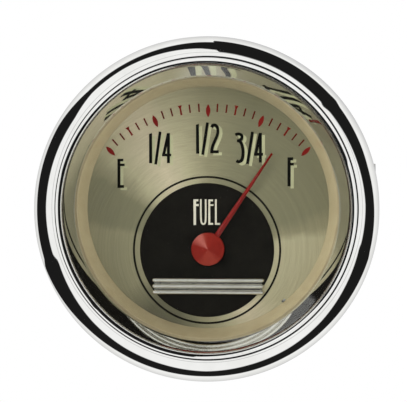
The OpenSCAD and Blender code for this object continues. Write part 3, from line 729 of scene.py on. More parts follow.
# Nickel brushed round the pointer's axis under clear lacquer that has yellowed. Its tints are painted light:
# from painted shade in the wedges that lie in shade to painted highlights in those that face a lamp. The
# pale wedges of painted sheen lie across from each other, as highlights do on any turned disc
PAINTED_SHADE, PAINTED_DIM_SHADE, EVEN, PAINTED_SHEEN, PAINTED_HIGHLIGHT = "#636048", "#7F7C5F", "#938E6E", "#B7B08E", "#CEC2A4"
BRUSHED_NICKEL = BrushedWithPaintedLight("lacquered_nickel", (
    (0, EVEN), (18, PAINTED_DIM_SHADE), (70, PAINTED_DIM_SHADE), (79, EVEN), (84, PAINTED_SHEEN), (125, PAINTED_SHEEN), (149, PAINTED_HIGHLIGHT), (163, PAINTED_SHEEN),
    (180, EVEN), (203, PAINTED_SHADE), (222, PAINTED_SHADE), (245, EVEN), (280, EVEN), (285, PAINTED_DIM_SHADE), (302, PAINTED_DIM_SHADE), (315, PAINTED_SHEEN),
    (331, PAINTED_HIGHLIGHT), (345, PAINTED_SHEEN), (360, EVEN)), 0.15, (0.36, 0.5), coat=0.8, haze=0.8)
# Die-struck strip, nickel plated and buffed
BRIGHT_NICKEL = Metal("buffed_nickel", "#EDEBE4", "#E2DFD6", (0.06, 0.14), Lay.ROLLED, 0.15, 40.0, 0.0005)
# Screen-printed inks: a thick satin film whose surface follows the brushing a little
BLACK_INK = Moulded("printed_black_ink", "#090806", "#0F0E0A", (0.5, 0.65), 0.15, 0.002, gloss=0.12)
DISC_INK = Moulded("printed_disc_ink", "#13110D", "#181611", (0.5, 0.65), 0.2, 0.002, gloss=0.12)
CREAM_INK = Moulded("printed_cream_ink", "#D8D3C1", "#CEC9B5", (0.4, 0.5), 0.15, 0.002)
PALE_INK = Moulded("printed_pale_ink", "#BFBE96", "#B3B38C", (0.4, 0.5), 0.15, 0.002)
RED_INK = Moulded("printed_red_ink", "#851D17", "#761713", (0.45, 0.6), 0.15, 0.002, gloss=0.15)
DARK_RED_INK = Moulded("printed_dark_red_ink", "#69170E", "#5A130B", (0.45, 0.6), 0.15, 0.002, gloss=0.15)
# Stamped blade in gloss enamel, which runs thin along its ridge
RED_ENAMEL = Moulded("dipped_red_enamel", "#7E140E", "#6E100C", (0.16, 0.24), 0.3, 0.002, coat=0.2, gloss=0.3)
# Turned aluminium cap, anodised red: its lathe marks spread the light into rays, which are painted into its
# colour as wedges: a painted glint up to the left, painted lit wedges and painted shade between them
PAINTED_SHADE_RED, PLAIN_RED, PAINTED_LIT_RED, PAINTED_GLINT_RED = "#7D1B11", "#842117", "#8D3124", "#AC5C52"
RED_ANODISED = BrushedWithPaintedLight("red_anodised_aluminium", (
    (0, PLAIN_RED), (60, PAINTED_SHADE_RED), (120, PAINTED_SHADE_RED), (145, PAINTED_LIT_RED), (200, PAINTED_LIT_RED), (225, PAINTED_SHADE_RED),
    (285, PAINTED_SHADE_RED), (318, PAINTED_GLINT_RED), (332, PAINTED_GLINT_RED), (346, PAINTED_LIT_RED), (360, PLAIN_RED)),
    0.1, (0.34, 0.46), contrast=0.12, coat=0.0, spread=0.01, gloss=0.2)
# Ground and polished steel wire
BRIGHT_STEEL = Metal("ground_steel", "#C9C9C7", "#BDBDBA", (0.12, 0.22), Lay.SPUN, 0.15, 40.0, 0.001, PIVOT)
# Pressed and sintered magnet, dark and finely grained
MAGNET = Moulded("sintered_magnet", "#3A3A3C", "#2F2F31", (0.5, 0.7), 0.2, 0.01)
# Zinc-plated steel: bluish with a trace of yellow, and mottled where it was dipped
ZINC_PLATE = Metal("bright_zinc_plate", "#C8CBCF", "#C9C4B2", (0.2, 0.34), Lay.NONE, 0.6, 1.0, 0.002)
# Moulded nylon that has yellowed a little, with the satin skin of its mould
IVORY_NYLON = Moulded("moulded_nylon", "#E3DCC4", "#D9D0B3", (0.35, 0.5), 0.4, 0.004)
# Enamelled copper wire, 0.2 mm thick, wound side by side
COPPER_WIRE = Moulded(
    "enamelled_wire", "#A4531F", "#7E3914", (0.22, 0.38), 0.2, 0.05, Lay.DRAWN, 60.0, coat=0.5)
# Brass turned from bar and tumbled: a fine grain, and a little brown where it was handled
TURNED_BRASS = Metal("turned_brass", "#D2B26A", "#BD9A55", (0.24, 0.34), Lay.NONE, 0.25, 1.0, 0.001)
# Deep-drawn mild steel with the die's scores along its wall
DRAWN_STEEL = Metal("drawn_steel", "#A9AAAC", "#9A9A98", (0.32, 0.42), Lay.DRAWN, 0.2, 60.0, 0.002)
# The same, plated dull with zinc
CASE_STEEL = Metal("zinc_plated_case", "#C2C5C8", "#B4B4AC", (0.3, 0.38), Lay.DRAWN, 0.2, 50.0, 0.0015)
# Pressed paper laminate: red-brown, with fine fibres in its skin
LAMINATE = Moulded("paper_laminate", "#6B3422", "#57291A", (0.4, 0.55), 0.15, 0.006)
# Rolled strip with a zinc plating
ROLLED_STRIP = Metal("rolled_strip", "#BFC2C4", "#B3B1A6", (0.26, 0.4), Lay.ROLLED, 0.2, 50.0, 0.004)
# Tinned spring steel, drawn into a tube: bright, with faint lines along it
TIN_PLATE = Metal("tin_plate", "#D0D0CC", "#C0BFB8", (0.22, 0.3), Lay.DRAWN, 0.2, 40.0, 0.001)
# Blown bulb glass, a little less clear than the lens
BULB_GLASS = Glass("blown_glass", "#F4F6F2", 0.03)
# Matt painted board under the gauge
FLOOR_PAINT = Moulded("pale_floor", "#F2F2F0", "#EFEFED", (0.6, 0.7), 3.0, 0.01)


# Finish of each CAD node that keeps its own mesh
KEPT_NODES: dict[str, Finish] = {
    "lens": LENS_GLASS, "lens_gasket": BLACK_RUBBER, "dial_plate": BRUSHED_NICKEL,
    "dial_trim_bar": BRIGHT_NICKEL, "pointer_blade": RED_ENAMEL, "pointer_hub": RED_ANODISED,
    "pointer_spindle": BRIGHT_STEEL, "rotor_magnet": MAGNET, "movement_plate": ZINC_PLATE,
    "plate_screws": BRIGHT_STEEL, "frame_posts": ZINC_PLATE, "bobbin_front": IVORY_NYLON,
    "bobbin_rear": IVORY_NYLON, "bobbin_screws": BRIGHT_STEEL,
    "coil_inner": COPPER_WIRE, "coil_outer": COPPER_WIRE, "front_bushing": TURNED_BRASS,
    "rear_bushing": TURNED_BRASS, "shield_cup": DRAWN_STEEL, "case_cup": CASE_STEEL,
    "terminal_bushes": LAMINATE, "terminal_insulators": LAMINATE, "clamp_bracket": ROLLED_STRIP,
    "lamp_cap": TURNED_BRASS, "lamp_bulb": BULB_GLASS,
}


def dress_kept_nodes(nodes: dict[str, bpy.types.Object]) -> None:
    """Gives each CAD node that stays its finish.

    Args:
        nodes: The frame's nodes by name.
    """
    for name, finish in KEPT_NODES.items():
        for slot in nodes[name].material_slots:
            slot.material = finish.material()
    log.info("dressed %d CAD nodes", len(KEPT_NODES))


# Sub-assemblies


@dataclass
class Bezel:
    """Spun ring: hem on the gasket, mirror wall, rolled crest, round flank and crimp."""

    # Radii of the widest part of the flank, the crest and the mirror wall's foot
    outer: float = 30.15
    crest: float = 26.3
    mouth: float = 23.15
    # Lean of the wall's face away from the axis at each radius, up to the crest where it lies flat
    wall: tuple[Point, ...] = (
        (23.15, 27.3), (24.8, 27.3), (24.95, 31.0), (25.1, 36.0), (25.25, 41.0), (25.45, 46.0), (25.6, 55.0),
        (25.75, 66.0), (25.95, 75.0), (26.3, 90.0))
    # A spun crest is never quite true to the mouth: how far its middle lies to the right and up
    run_out: Point = (0.08, 0.33)
    # Points of the face between two leans
    steps: int = 6
    # Hem on the gasket: its height, the radius of its end and the rounding of its fold
    hem: float = 6.9
    hem_end: float = 24.9
    hem_round: float = 0.12
    sheet: float = 0.55
    # Crimp behind the case's flange: the radius of its end and the rounding of its fold
    crimp: float = 27.75
    crimp_round: float = 0.35

    def face(self) -> list[Triple]:
        """Follows the mirror wall from its foot to the crest.

        Returns:
            Points of radius and height, each with the lean of the face there in degrees.
        """
        height = self.hem + self.sheet
        points = [(self.mouth, height, self.wall[0][1])]
        for (r0, lean0), (r1, lean1) in zip(self.wall, self.wall[1:]):
            for i in range(1, self.steps + 1):
                r, lean = r0 + (r1 - r0) * i / self.steps, lean0 + (lean1 - lean0) * i / self.steps
                height += (r - points[-1][0]) / math.tan(math.radians((lean + points[-1][2]) / 2))
                points.append((r, height, lean))
        return points

    def profile(self) -> list[Point]:
        """Works out the sheet's outline: its face, and its back one thickness behind.

        Returns:
            Points of radius and height round the sheet's section.
        """
        face = self.face()
        back = [(r + self.sheet * math.cos(math.radians(lean)), z - self.sheet * math.sin(math.radians(lean)))
                for r, z, lean in face[1:]]
        flank = self.outer - self.crest
        flank_z = face[-1][1] - flank
        foot, hem = self.hem + self.sheet, self.hem_round
        return [
            (self.hem_end, self.hem), *arc(self.mouth + hem, self.hem + hem, hem, -90, -180, 5),
            *[(r, z) for r, z, _ in face], *arc(self.crest, flank_z, flank, 90, 0, 48)[1:],
            *arc(self.outer - self.crimp_round, self.crimp_round, self.crimp_round, 0, -90, 10),
            (self.crimp, 0), (self.crimp, self.sheet), (self.outer - self.sheet, self.sheet),
            *arc(self.crest, flank_z, flank - self.sheet, 0, 90, 24), *back[-2::-1],
            (self.mouth + self.sheet / math.cos(math.radians(self.wall[0][1])), foot), (self.hem_end, foot)]

    def set_off(self, point: Triple, top: float) -> Triple:
        """Moves a point sideways by its share of the run-out.

        Args:
            point: A drawn point of the ring.
            top: Height of the crest.

        Returns:
            The moved point: not at all at the foot and the widest part of the flank, fully at the crest.
        """
        x, y, z = point
        radius, foot = math.hypot(x, y), self.hem + self.sheet
        out = min(max((radius - self.mouth) / (self.outer - self.mouth), 0.0), 1.0)
        still = foot + (top - self.outer + self.crest - foot) * out
        share = min(max((z - still) / (top - still), 0.0), 1.0)
        if radius > self.crest:
            # The flank leans over gently, so that its widest line stays where it is
            share *= share
        return (x + self.run_out[0] * share, y + self.run_out[1] * share, z)

    def build(self) -> None:
        """Makes the bezel."""
        shape = Shape().spin(self.profile(), 512)
        top = self.face()[-1][1]
        shape.points = [self.set_off(point, top) for point in shape.points]
        shape.build("bezel_spun", "case", "polished_steel", BUFFED_STEEL, ["bezel"], 35)


@dataclass
class SpacerRing:
    """Tan ring that slopes from the dial to the lens, with a rolled lip at either end of the slope."""

    # Slope: its radius and its height at the dial and at the lens
    window: float = 21.3
    slope: float = 22.65
    low: float = 0.9
    top: float = 4.5
    # Rolled lip: its radius, and how many of these its middle lies outside the slope
    lip: float = 0.22
    lip_out: float = 1.4
    # Round at the slope's foot: how far outside the window its middle lies, and its radius
    foot: Point = (0.09, 0.08)
    foot_out: float = 24.4
    # Flange on the case: its lower face and its radius
    flange: Point = (1.35, 29.45)
    wall: float = 1.0
    # Rim round the lens: its inner radius and its height
    rim: Point = (25.0, 6.3)
    # Key that holds the dial: degrees clockwise from straight up, and where it starts and ends, its width
    # and its lower end
    notch_turn: float = 141.0
    key: tuple[float, ...] = (21.45, 23.1, 0.45, 0.3)

    def build(self) -> None:
        """Makes the ring and the key that holds the dial."""
        lean = math.degrees(math.atan2(self.top - self.low, self.slope - self.window))
        (under, out), (rim_in, rim_top) = self.flange, self.rim
        profile = [
            (self.foot_out, self.low), (self.foot_out, under), (out, under), (out, under + self.wall),
            (rim_in + self.wall, under + self.wall), (rim_in + self.wall, rim_top), (rim_in, rim_top),
            (rim_in, self.top),
            *arc(self.slope + self.lip * self.lip_out, self.top - self.lip, self.lip, 90, 90 + lean, 8),
            *arc(self.window + self.foot[0], self.low + self.foot[1], self.foot[1], 90 + lean, 270, 5)]
        shape = Shape().spin(profile, 256)
        start, end, width, low = self.key
        side = width / 2
        key = radial([(start, -side), (end, -side), (end, side), (start, side)], 90 - self.notch_turn)
        shape.prism(key, low, self.low)
        shape.build("spacer_ring_painted", "case", "tan_paint", TAN_ENAMEL, ["spacer_ring"], 35)


class Stroke(Enum):
    """Kinds of mark on the fuel scale."""

    MINOR = "thin straight mark"
    EIGHTH = "mark with a flared head"
    QUARTER = "long pointed lens"


@dataclass(frozen=True)
class Upright:
    """Upright stroke of a letter with arms to its right, in pixels of the photo."""

    left: float
    right: float
    top: float
    foot: float
    # Right end, upper and lower edge of each arm
    arms: tuple[Triple, ...] = ()
    # How far in the foot's left corner stands
    toe: float = 0.0

    def outline(self) -> list[Point]:
        """Goes round the stroke.

        Returns:
            The closed outline. A corner that comes twice lies inside an arm's edge and is left out.
        """
        line = [(self.left, self.top), (self.right, self.top)]
        for reach, high, low in self.arms:
            line += [(self.right, high), (reach, high), (reach, low), (self.right, low)]
        line += [(self.right, self.foot), (self.left + self.toe, self.foot)]
        return [point for point in line if line.count(point) == 1]


@dataclass(frozen=True)
class Lettering:
    """Letters and fractions, traced stroke by stroke in pixels of the photo."""

    letter_e: Upright = Upright(117.1, 120.0, 159.0, 188.1, (
        (123.0, 159.0, 161.5), (124.3, 163.8, 166.3), (123.6, 185.2, 188.1)))
    letter_f: Upright = Upright(286.8, 290.0, 157.2, 186.1, ((292.5, 157.2, 160.2), (293.1, 162.6, 165.4)))
    # Corners of the ones in 1/4 and 1/2
    quarter_one: tuple[Point, ...] = ((148.7, 134.2), (151.7, 133.2), (151.9, 163.3), (148.8, 163.3))
    half_one: tuple[Point, ...] = ((195.5, 125.0), (198.5, 123.8), (198.9, 153.7), (195.7, 153.7))
    # Ends of the three slashes, and their width
    slashes: tuple[tuple[Point, Point], ...] = (
        ((159.8, 131.8), (155.3, 164.5)), ((207.1, 122.6), (202.2, 154.8)), ((251.9, 131.8), (246.8, 163.8)))
    slash_width: float = 2.8
    # Upright, ends of the slanting stroke and crossbar of each four, and the slanting stroke's width
    fours: tuple[tuple[Upright, tuple[Point, Point], Upright], ...] = (
        (Upright(166.6, 169.6, 133.2, 163.2), ((168.0, 133.6), (163.1, 155.6)),
         Upright(161.6, 170.9, 153.8, 156.4)),
        (Upright(258.3, 261.3, 132.9, 162.5), ((259.6, 133.4), (254.9, 155.2)),
         Upright(253.5, 262.5, 152.8, 155.7)))
    slant_width: float = 2.9
    # Hook of the two, its width at the top and in its tail, at which point the tail starts, and its foot
    hook: tuple[Point, ...] = (
        (211.0, 127.4), (212.4, 125.6), (214.6, 125.3), (216.7, 127.2), (217.5, 131.0), (216.6, 135.6),
        (214.6, 140.4), (212.6, 145.0), (211.5, 149.0), (211.2, 153.0))
    hook_widths: Point = (3.2, 2.9)
    tail_start: int = 20
    two_foot: Upright = Upright(209.8, 218.3, 150.3, 153.3)
    # Bows of the three, the upper first, and their widths
    upper_bow: tuple[Point, ...] = (
        (234.8, 134.9), (236.6, 134.2), (239.0, 134.1), (241.2, 135.6), (241.3, 137.9), (240.2, 139.7),
        (238.4, 140.7), (236.4, 140.8))
    lower_bow: tuple[Point, ...] = (
        (238.9, 140.9), (240.6, 142.9), (242.0, 147.0), (242.6, 152.0), (242.0, 157.6), (240.4, 160.8),
        (238.0, 161.7), (235.9, 160.6))
    bow_widths: Point = (3.0, 3.1)
    # Letters of the word on the disc, whose second one is a cup of one width
    word_f: Upright = Upright(193.0, 195.6, 199.3, 224.9, ((197.9, 199.3, 201.3), (198.3, 204.0, 206.0)), 0.2)
    cup: tuple[Point, ...] = (
        (200.4, 199.2), (200.4, 210.0), (200.6, 219.0), (201.2, 222.6), (202.9, 224.1), (204.7, 222.6),
        (205.2, 219.0), (205.3, 210.0), (205.2, 199.2))
    cup_width: float = 1.65
    word_e: Upright = Upright(207.9, 209.8, 199.4, 224.7, (
        (212.5, 199.4, 201.2), (213.0, 204.2, 205.8), (212.7, 222.8, 224.7)))
    word_l: Upright = Upright(214.5, 216.3, 199.3, 224.7, ((219.7, 222.8, 224.7),))

    def numerals(self) -> list[list[Point]]:
        """Gives the outlines of every stroke of the lettering on the brushed dial, from left to right.

        Returns:
            Closed outlines in pixels of the photo.
        """
        quarter, half, three_quarter = (ribbon(ends, self.slash_width) for ends in self.slashes)
        first, second = ([upright.outline(), ribbon(slant, self.slant_width), bar.outline()]
                         for upright, slant, bar in self.fours)
        hook, (top, tail) = curve(self.hook), self.hook_widths
        widths = [top] * self.tail_start + [tail] * (len(hook) - self.tail_start)
        upper, lower = self.bow_widths
        return [
            self.letter_e.outline(), list(self.quarter_one), quarter, *first, list(self.half_one), half,
            ribbon(hook, widths), self.two_foot.outline(), ribbon(curve(self.upper_bow), upper),
            ribbon(curve(self.lower_bow), lower), three_quarter, *second, self.letter_f.outline()]

    def word(self) -> list[list[Point]]:
        """Gives the strokes of the word on the black disc.

        Returns:
            Closed outlines in pixels of the photo.
        """
        return [self.word_f.outline(), ribbon(curve(self.cup), self.cup_width), self.word_e.outline(),
                self.word_l.outline()]


@dataclass
class DialPrint:
    """All that is printed on the dial: scale, numerals with their pale shadows, disc, ring and word."""

    lettering: Lettering = Lettering()
    # Height of the dial's face, and thickness of the ink
    face: float = 0.9
    film: float = 0.012
    # How many films high each print stands: pale shadow, numerals and word, scale
    layers: Triple = (0.8, 2.0, 1.5)
    # How much higher each stroke stands than the one before it, so that strokes that cross don't flicker
    stagger: float = 0.0006
    spindle_hole: float = 1.8
    # Millimetres that a pixel of the photo stands for at the dial, and the dial's centre in its pixels
    pixel: float = 0.1767
    centre: Point = (207.7, 207.4)
    # How far to the right and up the pale shadow of a numeral lies
    shadow: Point = (0.54, -0.37)
    # Black disc: its middle and its radius, and the two radii of the thin ring round it
    disc: Triple = (-0.2, -7.53, 11.85)
    ring: Point = (12.73, 13.09)
    # Scale: how far it runs to either side of straight up in degrees, and into how many parts it is divided
    sweep: float = 45.0
    divisions: int = 24
    # Marks of the scale as places out from the pivot and half widths there
    minor: tuple[Point, ...] = ((24.18, 0.13), (25.64, 0.14))
    eighth: tuple[Point, ...] = ((24.03, 0.17), (25.24, 0.15), (25.74, 0.36))
    # The long lens: where it starts and ends, and its half width
    quarter: Triple = (23.22, 25.49, 0.40)

    def place(self, points: Sequence[Point], shift: Point = ORIGIN) -> list[Point]:
        """Turns points of the photo into millimetres on the dial."""
        return [((x - self.centre[0]) * self.pixel + shift[0], (self.centre[1] - y) * self.pixel + shift[1])
                for x, y in points]

    def mark(self, kind: Stroke, degrees: float) -> list[Point]:
        """Draws one mark of the scale.

        Args:
            kind: Which mark it is.
            degrees: Its place, clockwise from straight up.

        Returns:
            Its outline in millimetres.
        """
        if kind is Stroke.QUARTER:
            low, high, half = self.quarter
            steps = 16
            side = [(low + (high - low) * i / steps, half * math.sin(math.pi * i / steps) ** 0.8)
                    for i in range(steps + 1)]
            outline = [(r, -w) for r, w in side] + side[-2:0:-1]
        else:
            side = list(self.eighth if kind is Stroke.EIGHTH else self.minor)
            outline = side + [(r, -w) for r, w in side[::-1]]
        return radial(outline, 90 - degrees, PIVOT)

    def build(self) -> None:
        """Makes every printed piece."""
        z, film, slot = self.face, self.film, "brushed_nickel"
        shadow, black, scale = (z + film * layer for layer in self.layers)
        x, y, r = self.disc
        disc = Shape().prism(circle(r, 256, (x, y)), z, z + film, [circle(self.spindle_hole, 64, PIVOT)])
        inner, outer = (circle(radius, 256, (x, y)) for radius in self.ring)
        disc.prism(outer, z, z + film, [inner])
        disc.build("dial_disc_print", "case", slot, DISC_INK)
        pale, dark, word = Shape(), Shape(), Shape()
        for i, outline in enumerate(self.lettering.numerals()):
            pale.prism(self.place(outline, self.shadow), z, shadow + self.stagger * i)
            dark.prism(self.place(outline), z, black + self.stagger * i)
        for outline in self.lettering.word():
            word.prism(self.place(outline), z, black)
        pale.build("numeral_shadow_print", "case", slot, PALE_INK)
        dark.build("numeral_print", "case", slot, BLACK_INK)
        word.build("fuel_print", "case", slot, CREAM_INK)
        long, short = Shape(), Shape()
        for i in range(self.divisions + 1):
            kind = Stroke.QUARTER if i % 6 == 0 else Stroke.EIGHTH if i % 6 == 3 else Stroke.MINOR
            outline = self.mark(kind, self.sweep * (2 * i / self.divisions - 1))
            (short if kind is Stroke.MINOR else long).prism(outline, z, scale)
        long.build("scale_quarter_print", "case", slot, RED_INK)
        short.build("scale_minor_print", "case", slot, DARK_RED_INK)


@dataclass
class Terminals:
    """Three brass studs through the case's back, each with a flat washer, two nuts and a spring washer."""

    # Row of studs: its height on the back, the distance between two and their number
    drop: float = -15.5
    pitch: float = 9.0
    count: int = 3
    # Radii of the free end, the shank and the head
    rod: float = 2.0
    step: float = 2.4
    head: float = 3.6
    # Heights: free end, second nut, spring washer, first nut, flat washer, its upper face, head and its top
    heights: tuple[float, ...] = (-51.0, -44.4, -41.4, -40.6, -37.6, -37.0, -34.2, -33.2)
    # Nut: its width across the flats and its thickness
    across: float = 7.0
    thick: float = 3.0
    # 0.7 mm is the usual pitch of a 4 mm thread
    thread: float = 0.7
    # Outer and inner radius of the washers, and the width of a spring washer's cut
    washer: Point = (3.9, 2.5)
    spring: Point = (3.3, 2.5)
    gap: float = 0.6

    def build(self) -> None:
        """Makes the studs, nuts and washers."""
        end, second, spring, first, washer, top, head, head_top = self.heights
        studs, nuts, washers = Shape(), Shape(), Shape()
        outer, inner = self.washer
        flat = [(inner, washer), (outer - WASHER_EDGE, washer), (outer, washer + WASHER_EDGE), (outer, top),
                (inner, top)]
        for i in range(self.count):
            centre = ((i - (self.count - 1) / 2) * self.pitch, self.drop)
            studs.stud(self.rod, end, second, self.thread, [
                (self.step, second), (self.step, head), *stud_head(self.head, head, head_top)], centre)
            for low in (second, first):
                nuts.nut(self.across, self.step + NUT_PLAY, low, low + self.thick, centre)
            washers.spin(flat, 96, centre)
            washers.split_ring(*self.spring, spring, first, self.gap, centre)
        studs.build("terminal_studs_threaded", "case", "brass", TURNED_BRASS, ["terminal_studs"], 40)
        nuts.build("terminal_nuts_chamfered", "case", "brass", TURNED_BRASS, ["terminal_nuts"], 25)
        washers.build("terminal_washers_sprung", "case", "zinc_plate", ZINC_PLATE, ["terminal_washers"], 35)


@dataclass
class Clamp:
    """Threaded studs with their nuts, spring washers and knurled thumb nuts that draw the bracket home."""

    # How far to either side the studs stand, and their radius
    at: float = 14.0
    rod: float = 2.4
    # 32 threads to the inch
    thread: float = 0.794
    # Heights: free end, case's back, its inside, top of the head inside
    heights: tuple[float, ...] = (-57.7, -36.0, -35.2, -34.0)
    head: float = 4.0
    # Nut: its width across the flats, its lower and its upper face
    nut: Triple = (9.0, -38.6, -36.0)
    # Spring washer: its outer and inner radius, its lower and upper face, and the width of its cut
    spring: tuple[float, ...] = (4.3, 2.7, -46.5, -45.6, 0.6)
    # Thumb nut: radii of the knurling, the collar and the bore
    knurl: float = 5.4
    collar: float = 4.2
    bore: float = 2.5
    # Knurling: number and depth of its grooves
    grooves: int = 20
    groove: float = 0.34
    # Chamfer of the knurling, and the heights of its steps
    chamfer: float = 0.55
    rise: tuple[float, ...] = (0.0, 0.15, 0.3, 0.45, 0.6)
    # Round at the collar's foot, its broken edge, and the countersinks of the bore, inner and outer
    breaks: tuple[float, ...] = (0.25, 0.2, 0.35, 0.45)
    # Heights of the thumb nut: outer face, end of the knurling, face on the washer
    thumb: Triple = (-53.0, -48.3, -46.5)

    def thumb_section(self, angle: float) -> list[Point]:
        """Gives the thumb nut's section, which dips at each groove of the knurling.

        Args:
            angle: Place round the nut in degrees.

        Returns:
            Points of radius and height.
        """
        low, shoulder, high = self.thumb
        dip = self.groove * max(0.0, math.cos(math.radians(angle * self.grooves))) ** 1.5
        radii = [min(self.knurl - dip, self.knurl - self.chamfer + d) for d in self.rise]
        collar, bore = self.collar, self.bore
        foot, edge, sink, mouth = self.breaks
        return [*rim(radii, self.rise, low, shoulder), (collar + foot, shoulder), (collar, shoulder + foot),
                (collar, high - edge), (collar - edge, high), (bore + sink, high), (bore, high - sink),
                (bore, low + mouth), (bore + mouth, low)]

    def build(self) -> None:
        """Makes the studs, their nuts, the spring washers and the thumb nuts."""
        end, back, inside, top = self.heights
        studs, nuts, washers = Shape(), Shape(), Shape()
        across, low, high = self.nut
        for side, name in ((-1, "thumb_nut_left"), (1, "thumb_nut_right")):
            centre = (side * self.at, 0.0)
            studs.stud(self.rod, end, back, self.thread, [
                (self.rod, back), (self.rod, inside), *stud_head(self.head, inside, top)], centre)
            nuts.nut(across, self.rod + NUT_PLAY, low, high, centre)
            washers.split_ring(*self.spring, centre)
            thumb = Shape().turn(self.thumb_section, 320, centre)
            thumb.build(name + "_knurled", name, "brass", TURNED_BRASS, [name], 25)
        studs.build("mounting_studs_threaded", "case", "zinc_plate", ZINC_PLATE, ["mounting_studs"], 40)
        nuts.build("stud_nuts_chamfered", "case", "zinc_plate", ZINC_PLATE, ["stud_nuts"], 25)
        washers.build("clamp_washers_sprung", "clamp", "zinc_plate", ZINC_PLATE, ["clamp_washers"], 35)


@dataclass
class LampHolder:
    """Push-in lamp socket: tinned tube with a rolled end, slit spring fingers, insulating disc and spade."""

    centre: Point = (0.0, 14.0)
    # Radii of the tube and of its flange
    outer: float = 5.9
    inner: float = 5.3
    flange: float = 7.4
    # Heights: rolled end, lower and upper face of the flange, foot of the slits, front end
    heights: tuple[float, ...] = (-44.5, -36.8, -36.0, -34.0, -29.7)
    # Slits between the spring fingers: their number and their width
    slits: int = 4
    slit: float = 0.8
    # Broken edges of the front end and the flange, and the round between the flange and the tube
    lead: float = 0.1
    edge: float = 0.15
    fillet: float = 0.3
    # Points of the rolled end, out from the tube and up from its end, and the rounding of its inner edge
    roll: tuple[Point, ...] = ((0.0, 0.75), (0.18, 0.6), (0.26, 0.38), (0.18, 0.14), (-0.05, 0.0))
    mouth: Point = (0.2, 0.25)
    # Insulating disc: its radius, its lower and its upper face, and its rounded edge
    disc: Triple = (5.15, -40.2, -38.7)
    disc_edge: float = 0.25
    # Recess in the disc's face: its depth, and where its slope starts and ends, in from the edge
    recess: Triple = (0.1, 1.1, 0.9)
    # Spade: half its width, its thickness and its length
    spade: Triple = (3.15, 0.8, 9.0)
    # Points of the spade's tip, in from its edge and up from its end
    taper: tuple[Point, ...] = ((0.0, 1.3), (0.4, 0.4), (1.1, 0.0))
    # Hole in the spade: its radius, and how far its middle lies from the tip
    hole: Point = (0.9, 2.2)

    def tube_section(self, angle: float) -> list[Point]:
        """Gives the tube's section, which ends lower at each slit.

        Args:
            angle: Place round the tube in degrees.

        Returns:
            Points of radius and height.
        """
        end, low, high, foot, front = self.heights
        turn = 360 / self.slits
        off = abs(angle % turn - turn / 2)
        top = foot if math.radians(off) * self.outer < self.slit / 2 else front
        r, b, f, edge = self.outer, self.inner, self.flange, self.edge
        return [(r - self.lead, top), (r, top - self.lead), (r, high), (f - edge, high), (f, high - edge),
                (f, low + edge), (f - edge, low), (r + self.fillet, low), (r, low - self.fillet),
                *[(r + out, end + up) for out, up in self.roll], (b + self.mouth[0], end),
                (b, end + self.mouth[1]), (b, top)]

    def build(self) -> None:
        """Makes the tube, the disc and the spade."""
        tube = Shape().turn(self.tube_section, 180, self.centre)
        tube.build("lamp_socket_rolled", "lamp", "socket_steel", TIN_PLATE, ["lamp_socket"], 35)
        r, low, high = self.disc
        depth, slope, step = self.recess
        disc = Shape().spin([
            (0, low + depth), (r - slope, low + depth), (r - step, low), (r - self.disc_edge, low),
            (r, low + self.disc_edge), (r, high), (0, high)], 96, self.centre, closed=False)
        disc.build("lamp_disc_pressed", "lamp", "fibre_insulator", LAMINATE, ["lamp_insulator"], 30)
        half, thick, length = self.spade
        tip = low - length
        side = [(half, low + depth), *[(half - aside, tip + up) for aside, up in self.taper]]
        hole = circle(self.hole[0], 32, (0.0, tip + self.hole[1]))
        y = self.centre[1]
        spade = Shape().prism([(-x, z) for x, z in side] + side[::-1], y - thick / 2, y + thick / 2, [hole])
        spade.stand()
        spade.build("lamp_spade_stamped", "lamp", "brass", TURNED_BRASS, ["lamp_spade"], 30)


